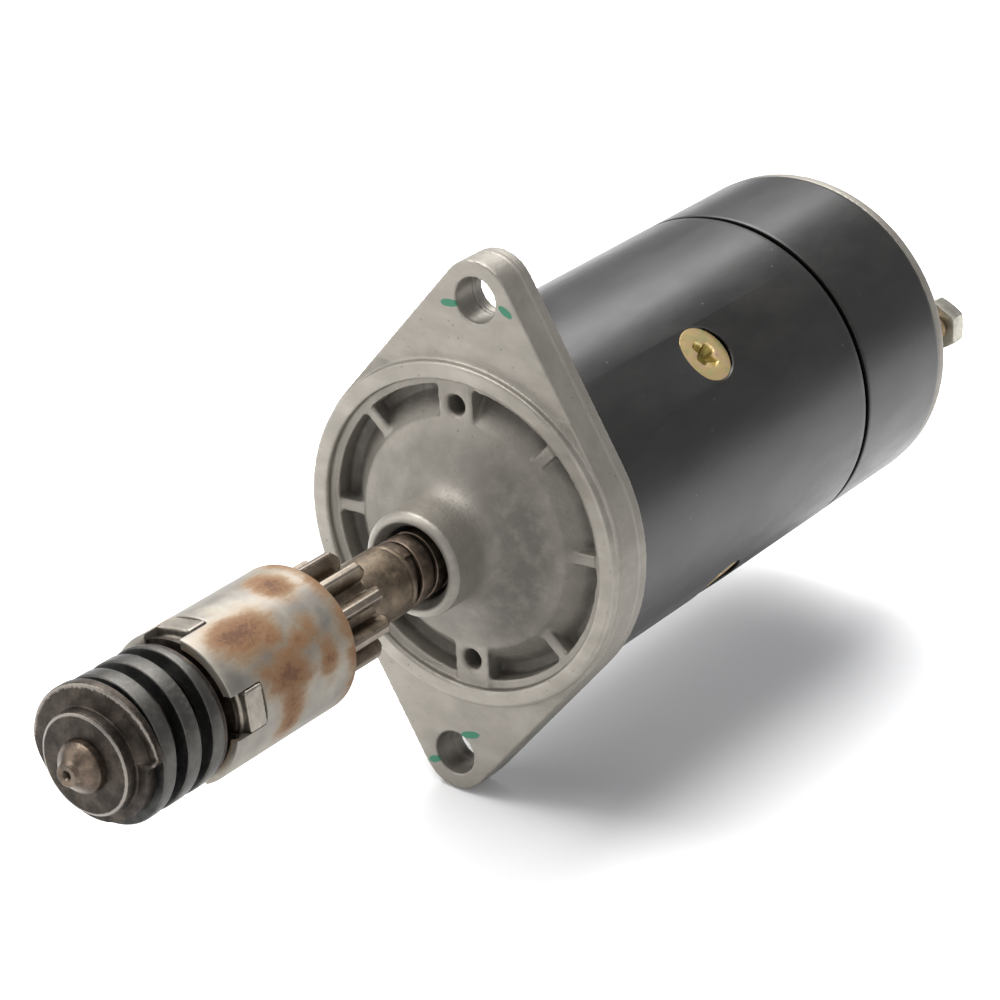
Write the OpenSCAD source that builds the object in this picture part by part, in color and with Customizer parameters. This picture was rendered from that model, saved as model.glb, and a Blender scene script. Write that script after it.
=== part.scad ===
// Inertia-drive starter motor. Origin: centre of the flange's front face, on the shaft axis.
// +X runs along the shaft to the pinion end, and +Z goes up through the flange's upper ear.

/* [Motor body] */
// Outer diameter of the yoke
yoke_d = 88.9; // [84:0.1:108]
// Wall of the yoke tube
yoke_wall = 6.2; // [5:0.1:8]
// Length of the yoke, from the flange to the rear bracket
yoke_len = 145.5; // [136:0.5:180]
// Length of the cover band over the brush windows
band_len = 37.6; // [34:0.1:44]
// Thickness of the cover band
band_t = 1; // [0.8:0.1:1.5]
// Open seam between the yoke's shoulder and the cover band
seam_gap = 1.3; // [0.8:0.1:2]
// Thickness of the rear bracket's rim
rear_rim_t = 4; // [3:0.5:6]

/* [Drive end bracket] */
// Thickness of the mounting flange
flange_t = 11; // [9:0.5:15]
// Step of the flange's round middle outside the yoke
flange_lip = 1.75; // [1:0.05:4]
// Distance of each fixing hole outside the flange's round middle
ear_reach = 16.1; // [14:0.1:22]
// Radius of each ear
ear_r = 10; // [9:0.5:13]
// Diameter of each fixing hole
ear_hole_d = 11.6; // [8:0.1:14]
// Step of the register rim outside the yoke
register_lip = 0.75; // [0.2:0.05:0.9]
// Height of the register rim in front of the flange
register_h = 2.4; // [1.5:0.1:4]
// Width of the register rim
register_w = 4.4; // [3:0.1:6]
// Width of the ribbed trough
trough_w = 10.8; // [8:0.1:13]
// Depth of the ribbed trough behind the flange face
trough_depth = 5.5; // [4:0.5:7]
// Height of the nose boss in front of the flange
boss_h = 22.6; // [19:0.1:27]
// Wall of the nose boss
boss_wall = 4.2; // [3:0.1:6]
// Number of rib positions round the trough
rib_places = 8; // [4:2:12]

/* [Armature] */
// Diameter of the shaft through the pinion
shaft_d = 14; // [11.6:0.1:16.8]
// Diameter of the armature core
core_d = 54; // [46:0.5:56]
// Length of the armature core
core_len = 50; // [40:1:60]
// Number of core slots
core_slots = 16; // [12:1:24]
// Diameter of the commutator
commutator_d = 37; // [32:0.5:38]
// Length of the commutator
commutator_len = 23; // [20:0.5:24]
// Number of commutator bars
commutator_bars_n = 24; // [16:2:32]

/* [Pinion drive] */
// Number of pinion teeth
teeth = 10; // [9:1:12]
// Tip diameter of the pinion
pinion_tip_d = 28.8; // [27.5:0.1:34.6]
// Whole depth of a tooth
tooth_depth = 4.9; // [4:0.1:5.5]
// Face width of the pinion
pinion_face = 18; // [14:0.5:22]
// Outer diameter of the pinion barrel
barrel_d = 36.8; // [35:0.1:44.2]
// Wall of the barrel
barrel_wall = 2.4; // [2:0.1:3]
// Length of the barrel
barrel_len = 44; // [42:0.5:53]
// Width of each barrel slot
slot_w = 10.5; // [8:0.1:12]
// Depth of each barrel slot, from the open end
slot_len = 10; // [9.5:0.1:12]
// Travel of the pinion along the screwed sleeve
travel = 20; // [15:0.5:21]
// Lead of the screwed sleeve's thread, in one turn
thread_lead = 40; // [30:1:50]
// Number of thread starts
thread_starts = 4; // [2:1:6]
// Wall of the screwed sleeve inside its thread
thread_wall = 2.64; // [2:0.02:3.5]
// Depth of the thread
thread_depth = 1.8; // [1.2:0.1:2.2]
// Wall of the restraining sleeve round the shaft
neck_wall = 1.84; // [1.5:0.02:3]
// Length of the restraining sleeve
neck_len = 17; // [14:0.5:21]
// Play of the screwed sleeve against the main spring
cushion = 4; // [2:0.5:5]
// Outer diameter of the main spring
spring_d = 34.6; // [31:0.1:40]
// Radial width of the main spring's wire
spring_wire_w = 4.2; // [3:0.1:5]
// Free play left in the main spring when it is pushed home
spring_spare = 3.82; // [1:0.01:8]
// Diameter of the locating collar
collar_d = 35.6; // [32:0.1:42]
// Thickness of the locating collar's flange
collar_t = 3.4; // [3:0.1:5]

/* [Terminal] */
// Diameter of the terminal stud
stud_d = 7.9; // [6:0.1:10]
// Gap between the stud's insulator and the bore of the yoke
stud_inset = 0.3; // [0.3:0.1:4]
// Width across the terminal nut's flats
nut_af = 12.7; // [11:0.1:16]

/* [Hidden] */

$fn = 96;

// Clearances
fit_gap = 0.05;
run_gap = 0.06;
slide_gap = 0.35;
end_float = 0.3;

// Angles are clock angles from +Z towards +Y
pole_angle = 38;
poles = 4;
pole_pitch = 360 / poles;
bolt_angle = pole_angle - pole_pitch / 2;
slot_angle = 77;
slots = 4;
clamp_angle = 262;
terminal_angle = 84;

// Motor body stations along X
yoke_r = yoke_d / 2;
yoke_bore = yoke_r - yoke_wall;
yoke_rear = -flange_t - yoke_len;
band_front = yoke_rear + band_len;
shoulder_x = band_front + seam_gap;
band_seat_r = yoke_r - band_t - 2 * fit_gap;
band_bore = band_seat_r + fit_gap;
clamp_x = yoke_rear + band_len / 2;
clamp_t = 1.4;
clamp_half = 4;
clamp_l = 12;
clamp_screw_r = 2;
clamp_head_r = 3.2;
clamp_nut_h = 2.8;
clamp_axis_h = band_t + clamp_head_r + 0.5;
clamp_h = clamp_axis_h + clamp_screw_r + 1.5;
rear_face = yoke_rear - rear_rim_t;
rear_rim_r = yoke_r - 0.3;
rear_boss_x = rear_face - 6;
rear_hub_x = yoke_rear + 4;
rear_hub_wall = 3.5;
spigot_r = yoke_bore - fit_gap;
spigot_len = 3.5;
window_w = 18;
window_margin = 5;

// Armature stations along X
shaft_r = shaft_d / 2;
body_shaft_r = shaft_r + 2;
rear_journal_r = shaft_r - 1;
rear_bush_r = rear_journal_r + 2.5;
bush_rear_x = -9;
bush_front_x = 2;
restraint_wire_r = 0.5;
restraint_turns = 5;
restraint_solid = 2 * restraint_wire_r * restraint_turns + 4;
bush_wall = 2.4;
core_r = core_d / 2;
core_mid_x = -63;
core_front = core_mid_x + core_len / 2;
core_rear = core_mid_x - core_len / 2;
slot_depth = 9;
core_slot_w = 3.4;
commutator_r = commutator_d / 2;
commutator_rear = yoke_rear + 7.5;
commutator_front = commutator_rear + commutator_len;
riser_t = 3;
hub_r = commutator_r - 5;
mica_w = 0.8;
mica_depth = 1;
washer_t = 1;
washer_r = shaft_r + 4;
front_shoulder_x = bush_rear_x - end_float - washer_t;
rear_shoulder_x = rear_hub_x + end_float + washer_t;

// Poles and field
air_gap = 0.6;
pole_face_r = core_r + air_gap;
pole_tip_t = 3.2;
pole_tip_angle = 30;
pole_neck_angle = 18;
coil_angle = 32;
coil_gap = 0.3;
coil_end = 8;
pole_seat_r = yoke_bore - fit_gap;
screw_head_r = 7.8;
screw_head_h = 3.6;
screw_r = 4;
screw_end_r = pole_face_r + 2;
screw_top_r = yoke_r - 0.5;
recess_l = 8;
recess_w = 1.8;
recess_deep = 2;
coil_rear = core_rear - coil_end;
link_w = 6;
link_t = 1.2;
link_tail_w = 7;

// Through bolts
bolt_r = 2.5;
bolt_circle_r = yoke_bore - 4.4;
bolt_hole_r = bolt_r + 0.4;
bolt_tip_x = -8.5;
bolt_head_r = 4.6;
bolt_head_h = 3.4;
bolt_washer_t = 1.2;
bolt_seat_x = rear_face - bolt_washer_t;

// Drive end bracket
flange_r = yoke_r + flange_lip;
boss_edge = 1.4;
boss_bevel = 2;
boss_bevel_h = 3;
trough_slope = 6;
nose_fillet = 8;
cone_angle = 21.8;
cone_rear = 0.5;
spigot_wall = 4;
bolt_boss_r = 4;
ear_z = flange_r + ear_reach;
register_r = yoke_r + register_lip;
rim_bore = register_r - register_w;
trough_r = rim_bore - trough_w;
bore_r = shaft_r + run_gap;
neck_r = bore_r + neck_wall;
recess_r = neck_r + 0.6;
boss_r = recess_r + boss_wall;
bush_r = shaft_r + bush_wall;
casting_wall = 4.5;
cavity_x = -trough_depth - casting_wall;
nose_cavity_r = (trough_r + bush_r + boss_wall) / 2;
fillet_end_r = boss_r + nose_fillet * (1 - sin(cone_angle));
fillet_x = cone_rear + (trough_r - fillet_end_r) * tan(cone_angle) + nose_fillet * cos(cone_angle);
rib_w = 3.2;
rib_h = 5;
pad_w = 10;
countersink_r = 3.2;

// Pinion drive stations along X
neck_rear = bush_front_x + restraint_solid + travel;
pinion_rear = neck_rear + neck_len;
pinion_front = pinion_rear + pinion_face;
pinion_tip_r = pinion_tip_d / 2;
pinion_root_r = pinion_tip_r - tooth_depth;
pitch_r = pinion_tip_r - 0.47 * tooth_depth;
base_r = pitch_r * cos(20);
barrel_r = barrel_d / 2;
barrel_bore = barrel_r - barrel_wall;
barrel_end = pinion_front + barrel_len;
barrel_floor = pinion_front + 4;
barrel_fillet = 5;
hub_spigot_r = pinion_root_r + 0.4;
spline_depth = 0.8;
spline_w = 3;
splines = 4;
shaft_end_r = shaft_r - spline_depth;
thread_gap = 0.25;
thread_root_r = bore_r + thread_wall;
thread_r = thread_root_r + thread_depth;
lobe_angle = 360 / thread_starts;
step_angle = 15;
sleeve_rear = barrel_floor + 3;
flange_plate_t = 4;
sleeve_front = barrel_end + 2;
sleeve_flange_x = sleeve_front - flange_plate_t;
sleeve_flange_r = thread_r + 1;
ring_t = 1.2;
ring_x = sleeve_flange_x + 0.2;
ring_depth = 1;
ring_bore = sleeve_flange_r + 1;
nut_washer_t = 1.2;
nut_washer_x = sleeve_flange_x - 0.2 - nut_washer_t;
nut_front = nut_washer_x - 0.1;
nut_len = 9.5;
nut_rear = nut_front - nut_len;
lug_len = 5.6;
lug_gap = 0.35;
slot_start = barrel_end - slot_len;
washer_plate_t = 1.3;
spring_rear = sleeve_front + washer_plate_t;
spring_r = spring_d / 2;
spring_wire_t = 4.6;
spring_turns = 2.8;
spring_front = spring_rear + spring_turns * spring_wire_t + cushion + spring_spare;
flat_turn = 0.4;
collar_front = spring_front + collar_t;
collar_r = collar_d / 2;
collar_boss_r = 12.4;
collar_boss_h = 3.2;
nub_x = collar_front + collar_boss_h;
nub_len = 6;
nub_tip_r = 3;
nub_cone = 3.6;
centre_hole_r = 1.2;
groove_x = sleeve_rear - 3;
restraint_mean_r = shaft_r + 0.8;

// Brush gear
plate_t = 2;
plate_rear = yoke_rear + spigot_len;
plate_front = plate_rear + plate_t;
packing_t = 1;
brush_w = 8;
brush_l = 15;
brush_gap = 0.1;
brush_h = 11;
brush_bottom = commutator_r + brush_gap;
box_wall = 1;
box_bottom = commutator_r + 2;
box_h = 10;
brush_centre_x = plate_front + packing_t + box_wall + slide_gap + brush_l / 2;
brush_top = brush_bottom + brush_h;
spring_root_r = brush_top + 3;
lead_w = 2;
lead_h = 3.5;

// Terminal
stud_r = stud_d / 2;
insulator_r = stud_r + 3;
insulator_core_r = stud_r + 1.5;
stud_radius = yoke_bore - insulator_r - stud_inset;
insulator_t = 2.5;
stud_inner_x = plate_front + 3;
nut_t = 5.5;
stud_washer_t = 1.2;
nut_seat_x = rear_face - insulator_t - stud_washer_t;
nut_face_x = nut_seat_x - nut_t;
stud_reach = 13.8;
stud_tip_x = nut_face_x - stud_reach;
outer_nut_x = stud_tip_x + 1;
thread_bite = 0.3;
stud_core_r = stud_r - thread_bite;

// Places the children's Z axis along +X, starting at station x
module along(x = 0) {
  translate([x, 0, 0]) rotate([90, 0, 90]) children();
}

// Turns the children from +Z to a clock angle
module clock(angle) {
  rotate([-angle, 0, 0]) children();
}

module rod(x0, x1, r) {
  along(x0) cylinder(h = x1 - x0, r = r);
}

module tube(x0, x1, r, bore) {
  difference() {
    rod(x0, x1, r);
    rod(x0 - 1, x1 + 1, bore);
  }
}

// Solid of revolution about the shaft axis from points [radius, station]
module turned(points) {
  along() rotate_extrude() polygon(points);
}

// A block standing on the clock angle zero line, centred on x
module block(x, low, high, wide, long) {
  translate([x - long / 2, -wide / 2, low]) cube([long, wide, high - low]);
}

// Sector of a tube, centred on +Z and reaching half_angle each side
module sector(x0, x1, r, bore, half_angle) {
  reach = 2 * r;
  intersection() {
    tube(x0, x1, r, bore);
    along(x0 - 1) linear_extrude(x1 - x0 + 2)
      polygon([[0, 0], [-reach * sin(half_angle), reach * cos(half_angle)],
               [reach * sin(half_angle), reach * cos(half_angle)]]);
  }
}

// Points of an arc
function arc(cx, cy, r, a0, a1, n) = [for (i = [0:n]) let (a = a0 + (a1 - a0) * i / n)
  [cx + r * cos(a), cy + r * sin(a)]];

// Bar wound as a helix about the X axis, with a flat length of turn at each end
module helix(x0, x1, mean_r, half_w, half_t, turns, sides, per_turn) {
  steps = ceil(turns * per_turn);
  pitch = (x1 - x0 - 2 * half_t) / (turns - 2 * flat_turn);
  grow = sides == 4 ? sqrt(2) : 1;
  rings = [for (i = [0:steps]) let (
      turn = turns * i / steps,
      rise = max(0, min(turn, turns - flat_turn) - flat_turn),
      x = x0 + half_t + pitch * rise)
    for (k = [0:sides - 1]) let (
      a = 360 * (k + 0.5) / sides,
      r = mean_r + half_w * grow * cos(a))
    [x + half_t * grow * sin(a), r * sin(360 * turn), r * cos(360 * turn)]];
  skin = [for (i = [0:steps - 1]) for (k = [0:sides - 1]) let (
      a = i * sides + k,
      b = i * sides + (k + 1) % sides)
    each [[a, b, a + sides], [b, b + sides, a + sides]]];
  start_cap = [for (k = [1:sides - 2]) [0, k + 1, k]];
  end_cap = [for (k = [1:sides - 2]) [steps * sides, steps * sides + k, steps * sides + k + 1]];
  polyhedron(rings, concat(skin, start_cap, end_cap));
}

// Cross-section of the multi-start thread, grown outwards by gap
function thread_profile(gap) = [for (i = [0:thread_starts - 1]) let (
    middle = i * lobe_angle,
    crest = thread_r + gap,
    root = thread_root_r + gap,
    side = lobe_angle / 4 + gap / thread_r * 180 / PI,
    floor_angle = lobe_angle - 2 * side)
  each concat(
    [for (k = [-1:1]) let (a = middle + k * side * 0.96) [crest * cos(a), crest * sin(a)]],
    [for (k = [0:2]) let (a = middle + side + floor_angle * k / 2) [root * cos(a), root * sin(a)]]
  )];

module thread(x0, x1, gap) {
  turn = 360 * (x1 - x0) / thread_lead;
  along(x0) rotate(360 * x0 / thread_lead)
    linear_extrude(x1 - x0, twist = -turn, slices = ceil(turn / step_angle)) polygon(thread_profile(gap));
}

// Half the tooth's angle at radius r, for an involute of 20 degrees
function involute(a) = tan(a) * 180 / PI - a;
function half_tooth(r) = 90 / teeth + involute(20) - involute(acos(min(1, base_r / r)));

module gear_outline() {
  flank = [for (i = [0:4]) base_r + (pinion_tip_r - base_r) * i / 4];
  polygon([for (t = [0:teeth - 1]) let (middle = t * 360 / teeth) each concat(
    [let (a = middle - half_tooth(base_r)) [pinion_root_r * cos(a), pinion_root_r * sin(a)]],
    [for (r = flank) let (a = middle - half_tooth(r)) [r * cos(a), r * sin(a)]],
    [for (i = [4:-1:0]) let (r = flank[i], a = middle + half_tooth(r)) [r * cos(a), r * sin(a)]],
    [let (a = middle + half_tooth(base_r)) [pinion_root_r * cos(a), pinion_root_r * sin(a)]]
  )]);
}

// Flange outline: a round middle and two ears joined by tangent lines, Y to the right and Z up
module flange_outline() {
  lean = acos((flange_r - ear_r) / ear_z);
  polygon(concat(
    arc(0, ear_z, ear_r, 90 - lean, 90 + lean, 12),
    arc(0, 0, flange_r, 90 + lean, 270 - lean, 20),
    arc(0, -ear_z, ear_r, 270 - lean, 270 + lean, 12),
    arc(0, 0, flange_r, 270 + lean, 450 - lean, 20)
  ));
}

module bolt_positions() {
  for (turn = [0, 180]) clock(bolt_angle + turn) translate([0, 0, bolt_circle_r]) children();
}

module pole_positions() {
  for (i = [0:poles - 1]) clock(pole_angle + i * pole_pitch) children();
}

module terminal_position() {
  clock(terminal_angle) translate([0, 0, stud_radius]) children();
}

module drive_end_bracket() {
  color("#a9a49b") difference() {
    union() {
      along(-flange_t) linear_extrude(flange_t) difference() {
        flange_outline();
        circle(spigot_r + 0.5);
      }
      turned(concat(
        [[recess_r, boss_h - boss_bevel_h], [recess_r + boss_bevel, boss_h],
         [boss_r - boss_edge, boss_h], [boss_r, boss_h - boss_edge]],
        arc(boss_r + nose_fillet, fillet_x, nose_fillet, 180, 270 - cone_angle, 6),
        [[trough_r, cone_rear], [trough_r + trough_slope, -trough_depth], [rim_bore, -trough_depth],
         [rim_bore, register_h], [register_r, register_h], [register_r, -flange_t / 2],
         [spigot_r + 1, -flange_t / 2], [spigot_r + 1, -flange_t], [spigot_r, -flange_t],
         [spigot_r, -flange_t - spigot_len],
         [spigot_r - spigot_wall, -flange_t - spigot_len], [spigot_r - spigot_wall, cavity_x],
         [trough_r, cavity_x], [nose_cavity_r, cavity_x + casting_wall + trough_depth / 2],
         [bush_r + boss_wall, cavity_x + casting_wall + trough_depth], [bush_r + boss_wall, bush_rear_x],
         [bush_r, bush_rear_x], [bush_r, bush_front_x], [recess_r, bush_front_x]]
      ));
      for (i = [1:rib_places - 1]) if (i != rib_places / 2)
        clock(bolt_angle + i * 360 / rib_places)
          block(-trough_depth + rib_h / 2 - 0.5, trough_r - 1, rim_bore + 1, rib_w, rib_h + 1);
      for (turn = [0, 180]) clock(bolt_angle + turn)
        block((cone_rear - trough_depth - 1) / 2, trough_r - 1, rim_bore + 1, pad_w,
          trough_depth + cone_rear + 1);
      bolt_positions() rod(-flange_t - spigot_len + 0.5, -trough_depth - 1, bolt_boss_r);
    }
    for (side = [-1, 1]) translate([0, 0, side * ear_z]) rod(-flange_t - 1, 1, ear_hole_d / 2);
    bolt_positions() rod(-flange_t - spigot_len - 1, 1, bolt_r + fit_gap);
    bolt_positions() along(cone_rear - countersink_r + bolt_r)
      cylinder(h = countersink_r - bolt_r + 0.01, r1 = bolt_r, r2 = countersink_r);
  }
}

module drive_end_bush() {
  color("#a9743f") tube(bush_rear_x, bush_front_x, bush_r, shaft_r + run_gap);
}

module yoke() {
  color("#1b1b1c") difference() {
    union() {
      rod(shoulder_x, -flange_t, yoke_r);
      rod(yoke_rear, shoulder_x + 1, band_seat_r);
    }
    rod(yoke_rear - 1, 1, yoke_bore);
    pole_positions() screw_shape(fit_gap, 2);
    pole_positions() block((yoke_rear + band_front) / 2, yoke_bore - 2, yoke_r, window_w,
      band_len - 2 * window_margin);
  }
}

// Countersunk screw on +Z, grown by gap and with its head carried up by over
module screw_shape(gap, over) {
  translate([core_mid_x, 0, screw_top_r - screw_head_h]) {
    cylinder(h = screw_head_h, r1 = screw_r + gap, r2 = screw_head_r + gap);
    translate([0, 0, screw_head_h]) cylinder(h = over, r = screw_head_r + gap);
    translate([0, 0, screw_end_r - screw_top_r + screw_head_h])
      cylinder(h = screw_top_r - screw_head_h - screw_end_r + 0.01, r = screw_r + gap);
  }
}

module pole_shoes() {
  color("#6d6a66") pole_positions() difference() {
    union() {
      sector(core_rear, core_front, pole_face_r + pole_tip_t, pole_face_r, pole_tip_angle);
      sector(core_rear, core_front, pole_seat_r, pole_face_r + 1, pole_neck_angle);
    }
    screw_shape(fit_gap, 2);
  }
}

module pole_screws() {
  color("#c9b26a") pole_positions() difference() {
    screw_shape(0, 0.01);
    for (turn = [0, 90]) translate([core_mid_x, 0, screw_top_r]) rotate(turn + 20)
      cube([recess_l, recess_w, 2 * recess_deep], center = true);
  }
}

module field_coils() {
  color("#8c5a33") pole_positions() difference() {
    sector(core_rear - coil_end, core_front + coil_end, pole_seat_r - coil_gap,
      pole_face_r + pole_tip_t + coil_gap, coil_angle);
    sector(core_rear - coil_gap, core_front + coil_gap, yoke_r, core_r / 2, pole_neck_angle + 1);
  }
}

module field_link() {
  color("#b4713c") {
    tube(coil_rear - link_w, coil_rear, pole_seat_r - 0.3, pole_seat_r - 0.3 - link_t);
    clock(terminal_angle) block((coil_rear + stud_inner_x + link_t) / 2 - 1, pole_seat_r - 0.3 - link_t,
      pole_seat_r - 0.5, link_tail_w, coil_rear - stud_inner_x - link_t + 2 * (link_t - 1) + 2);
    clock(terminal_angle) block(stud_inner_x + link_t / 2, stud_radius - stud_core_r, pole_seat_r - 0.5,
      link_tail_w, link_t);
  }
}

module cover_band() {
  color("#151516") difference() {
    union() {
      tube(yoke_rear, band_front, band_bore + band_t, band_bore);
      clock(clamp_angle) for (side = [-1, 1]) translate([0, side * clamp_half, 0])
        block(clamp_x, band_bore + 0.2, band_bore + clamp_h, clamp_t, clamp_l);
    }
    clock(clamp_angle) block((yoke_rear + band_front) / 2, band_bore - 2, band_bore + clamp_h + 1,
      2 * clamp_half - clamp_t, band_len + 2);
    clock(clamp_angle) clamp_axis() cylinder(h = 30, r = clamp_screw_r + 0.3, center = true);
  }
}

module clamp_axis() {
  translate([clamp_x, 0, band_bore + clamp_axis_h]) rotate([90, 0, 0]) children();
}

module band_clamp_screw() {
  color("#b9b9b5") clock(clamp_angle) clamp_axis() {
    cylinder(h = 2 * clamp_half + 8, r = clamp_screw_r, center = true);
    translate([0, 0, clamp_half + clamp_t / 2]) difference() {
      cylinder(h = 2.4, r = clamp_head_r);
      translate([0, 0, 2.4]) cube([9, 0.9, 1.8], center = true);
    }
  }
}

module band_clamp_nut() {
  nut_side = clamp_half + clamp_t / 2 + clamp_nut_h;
  color("#b9b9b5") clock(clamp_angle) clamp_axis() translate([0, 0, -nut_side]) difference() {
    cylinder(h = clamp_nut_h, r = clamp_head_r, $fn = 6);
    translate([0, 0, -1]) cylinder(h = 5, r = clamp_screw_r);
  }
}

module commutator_end_bracket() {
  color("#b3afa6") difference() {
    turned([
      [rear_bush_r, rear_hub_x], [rear_bush_r + rear_hub_wall, rear_hub_x],
      [rear_bush_r + rear_hub_wall, yoke_rear],
      [spigot_r - spigot_wall, yoke_rear], [spigot_r - spigot_wall, plate_rear], [spigot_r, plate_rear],
      [spigot_r, yoke_rear], [rear_rim_r, yoke_rear], [rear_rim_r, rear_face + 1],
      [rear_rim_r - 1, rear_face],
      [rear_bush_r + rear_hub_wall + 2, rear_face], [rear_bush_r + rear_hub_wall, rear_boss_x],
      [rear_bush_r, rear_boss_x]
    ]);
    bolt_positions() rod(rear_face - 1, yoke_rear + 20, bolt_hole_r);
    terminal_position() rod(rear_face - 1, yoke_rear + 20, insulator_core_r + fit_gap);
    terminal_position() rod(yoke_rear, yoke_rear + 20, insulator_r + 0.3);
  }
}

module commutator_end_bush() {
  color("#a9743f") tube(rear_face - 4, rear_hub_x, rear_bush_r, rear_journal_r + run_gap);
}

module dust_cap() {
  color("#9c9a94") rod(rear_boss_x + 0.4, rear_boss_x + 1.6, rear_bush_r);
}

module through_bolts() {
  color("#8f8d88") bolt_positions() {
    rod(bolt_seat_x, bolt_tip_x, bolt_r);
    along(bolt_seat_x - bolt_head_h) cylinder(h = bolt_head_h, r = bolt_head_r, $fn = 6);
  }
}

module through_bolt_washers() {
  color("#7d7b77") bolt_positions() difference() {
    tube(bolt_seat_x, rear_face, bolt_head_r + 0.3, bolt_hole_r);
    block((bolt_seat_x + rear_face) / 2, 0, bolt_head_r + 2, 0.8, bolt_washer_t + 2);
  }
}

module brush_plate() {
  color("#5b3a22") difference() {
    tube(plate_rear, plate_front, spigot_r - spigot_wall + 2.2, commutator_r + 2);
    bolt_positions() rod(plate_rear - 1, plate_front + 1, bolt_hole_r);
    terminal_position() rod(plate_rear - 1, plate_front + 1, insulator_core_r);
  }
}

module brush_box() {
  wide = brush_w + 2 * slide_gap + 2 * box_wall;
  long = brush_l + 2 * slide_gap + 2 * box_wall;
  difference() {
    block(brush_centre_x, box_bottom, box_bottom + box_h, wide, long);
    block(brush_centre_x, box_bottom - 1, box_bottom + box_h + 1, wide - 2 * box_wall, long - 2 * box_wall);
  }
}

module brush_box_foot() {
  block(plate_front + packing_t / 2, box_bottom, box_bottom + box_h,
    brush_w + 2 * slide_gap + 2 * box_wall, packing_t);
}

module brush_clock(n) {
  clock(pole_angle + n * pole_pitch) children();
}

module brush_boxes_earthed() {
  color("#b9a05a") for (n = [0, 2]) brush_clock(n) {
    brush_box();
    brush_box_foot();
  }
}

module brush_boxes_insulated() {
  color("#b9a05a") for (n = [1, 3]) brush_clock(n) brush_box();
}

module brush_box_insulators() {
  color("#3a2a1e") for (n = [1, 3]) brush_clock(n) brush_box_foot();
}

module brush(n) {
  color("#39302c") brush_clock(n) difference() {
    block(brush_centre_x, commutator_r - 2, brush_top, brush_w, brush_l);
    rod(commutator_rear - 5, commutator_front + 5, brush_bottom);
  }
}

module brush_1() { brush(0); }
module brush_2() { brush(1); }
module brush_3() { brush(2); }
module brush_4() { brush(3); }

module brush_springs() {
  color("#4b4e55") pole_positions() rotate([90, 0, 0]) linear_extrude(brush_w / 2, center = true) polygon([
    [plate_front, spring_root_r], [plate_front, spring_root_r + 1], [brush_centre_x - 4, spring_root_r + 1],
    [brush_centre_x + 4, brush_top + 0.8], [brush_centre_x + 4, brush_top], [brush_centre_x + 2, brush_top],
    [brush_centre_x - 4.5, spring_root_r]
  ]);
}

module brush_leads() {
  post_x = brush_centre_x + brush_l / 2 - 2;
  side = brush_w / 2 + slide_gap + box_wall / 2;
  color("#b4713c") pole_positions() {
    translate([post_x, 0, brush_top]) cylinder(h = lead_h, r = lead_w / 2);
    block(post_x, brush_top + lead_h - lead_w, brush_top + lead_h, 0.01 + lead_w, lead_w);
    translate([post_x, -side, brush_top + lead_h - lead_w / 2]) rotate([-90, 0, 0])
      cylinder(h = side, r = lead_w / 2);
    translate([post_x, -side, box_bottom + box_h])
      cylinder(h = brush_top + lead_h - box_bottom - box_h, r = lead_w / 2);
  }
}

module terminal_stud() {
  color("#9a7d5c") terminal_position() {
    rod(outer_nut_x, stud_inner_x, stud_core_r);
    rod(outer_nut_x + nut_t, nut_face_x, stud_r);
    along(stud_tip_x) cylinder(h = 1.01, r1 = stud_core_r - 1, r2 = stud_core_r);
  }
}

module terminal_insulator() {
  color("#2a2320") terminal_position() difference() {
    union() {
      rod(rear_face - insulator_t, rear_face, insulator_r);
      rod(rear_face - 1, yoke_rear + 1, insulator_core_r);
      rod(yoke_rear, yoke_rear + insulator_t, insulator_r);
    }
    rod(rear_face - 10, yoke_rear + 10, stud_core_r);
  }
}

module terminal_washer() {
  color("#b9b6ae") terminal_position()
    tube(nut_seat_x, rear_face - insulator_t, insulator_r - 0.4, stud_core_r);
}

module terminal_nuts() {
  color("#c2bfb4") terminal_position() for (x = [outer_nut_x, nut_face_x]) difference() {
    along(x) cylinder(h = nut_t, r = nut_af / sqrt(3), $fn = 6);
    rod(x - 1, x + nut_t + 1, stud_core_r);
  }
}

module armature_shaft() {
  color("#6f665d") difference() {
    turned([
      [0, rear_face - 3], [rear_journal_r, rear_face - 3], [rear_journal_r, rear_shoulder_x],
      [body_shaft_r, rear_shoulder_x], [body_shaft_r, front_shoulder_x], [shaft_r, front_shoulder_x],
      [shaft_r, spring_front - 1], [shaft_end_r, spring_front - 1], [shaft_end_r, nub_x + nub_len - nub_cone],
      [nub_tip_r, nub_x + nub_len], [centre_hole_r, nub_x + nub_len], [0, nub_x + nub_len - 2 * centre_hole_r]
    ]);
    for (i = [0:splines - 1]) clock(i * 360 / splines)
      block((groove_x + spring_front) / 2, shaft_end_r, shaft_r + 1, spline_w, spring_front - groove_x);
  }
}

module armature_core() {
  color("#55524e") difference() {
    tube(core_rear, core_front, core_r, body_shaft_r);
    for (i = [0:core_slots - 1]) clock(i * 360 / core_slots)
      block(core_mid_x, core_r - slot_depth, core_r + 1, core_slot_w, core_len + 2);
  }
}

module armature_windings() {
  winding_r = core_r - 1.5;
  winding_bore = core_r - slot_depth - 1;
  color("#a4612c") {
    for (i = [0:core_slots - 1]) clock(i * 360 / core_slots)
      block(core_mid_x, core_r - slot_depth, winding_r, core_slot_w, core_len + 2);
    tube(core_front, core_front + 12, winding_r, winding_bore);
    turned([[winding_bore, core_rear], [winding_r, core_rear], [winding_r, core_rear - 14],
      [commutator_r + 1, commutator_front + riser_t], [hub_r, commutator_front + riser_t],
      [hub_r, core_rear - 14]]);
  }
}

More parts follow.
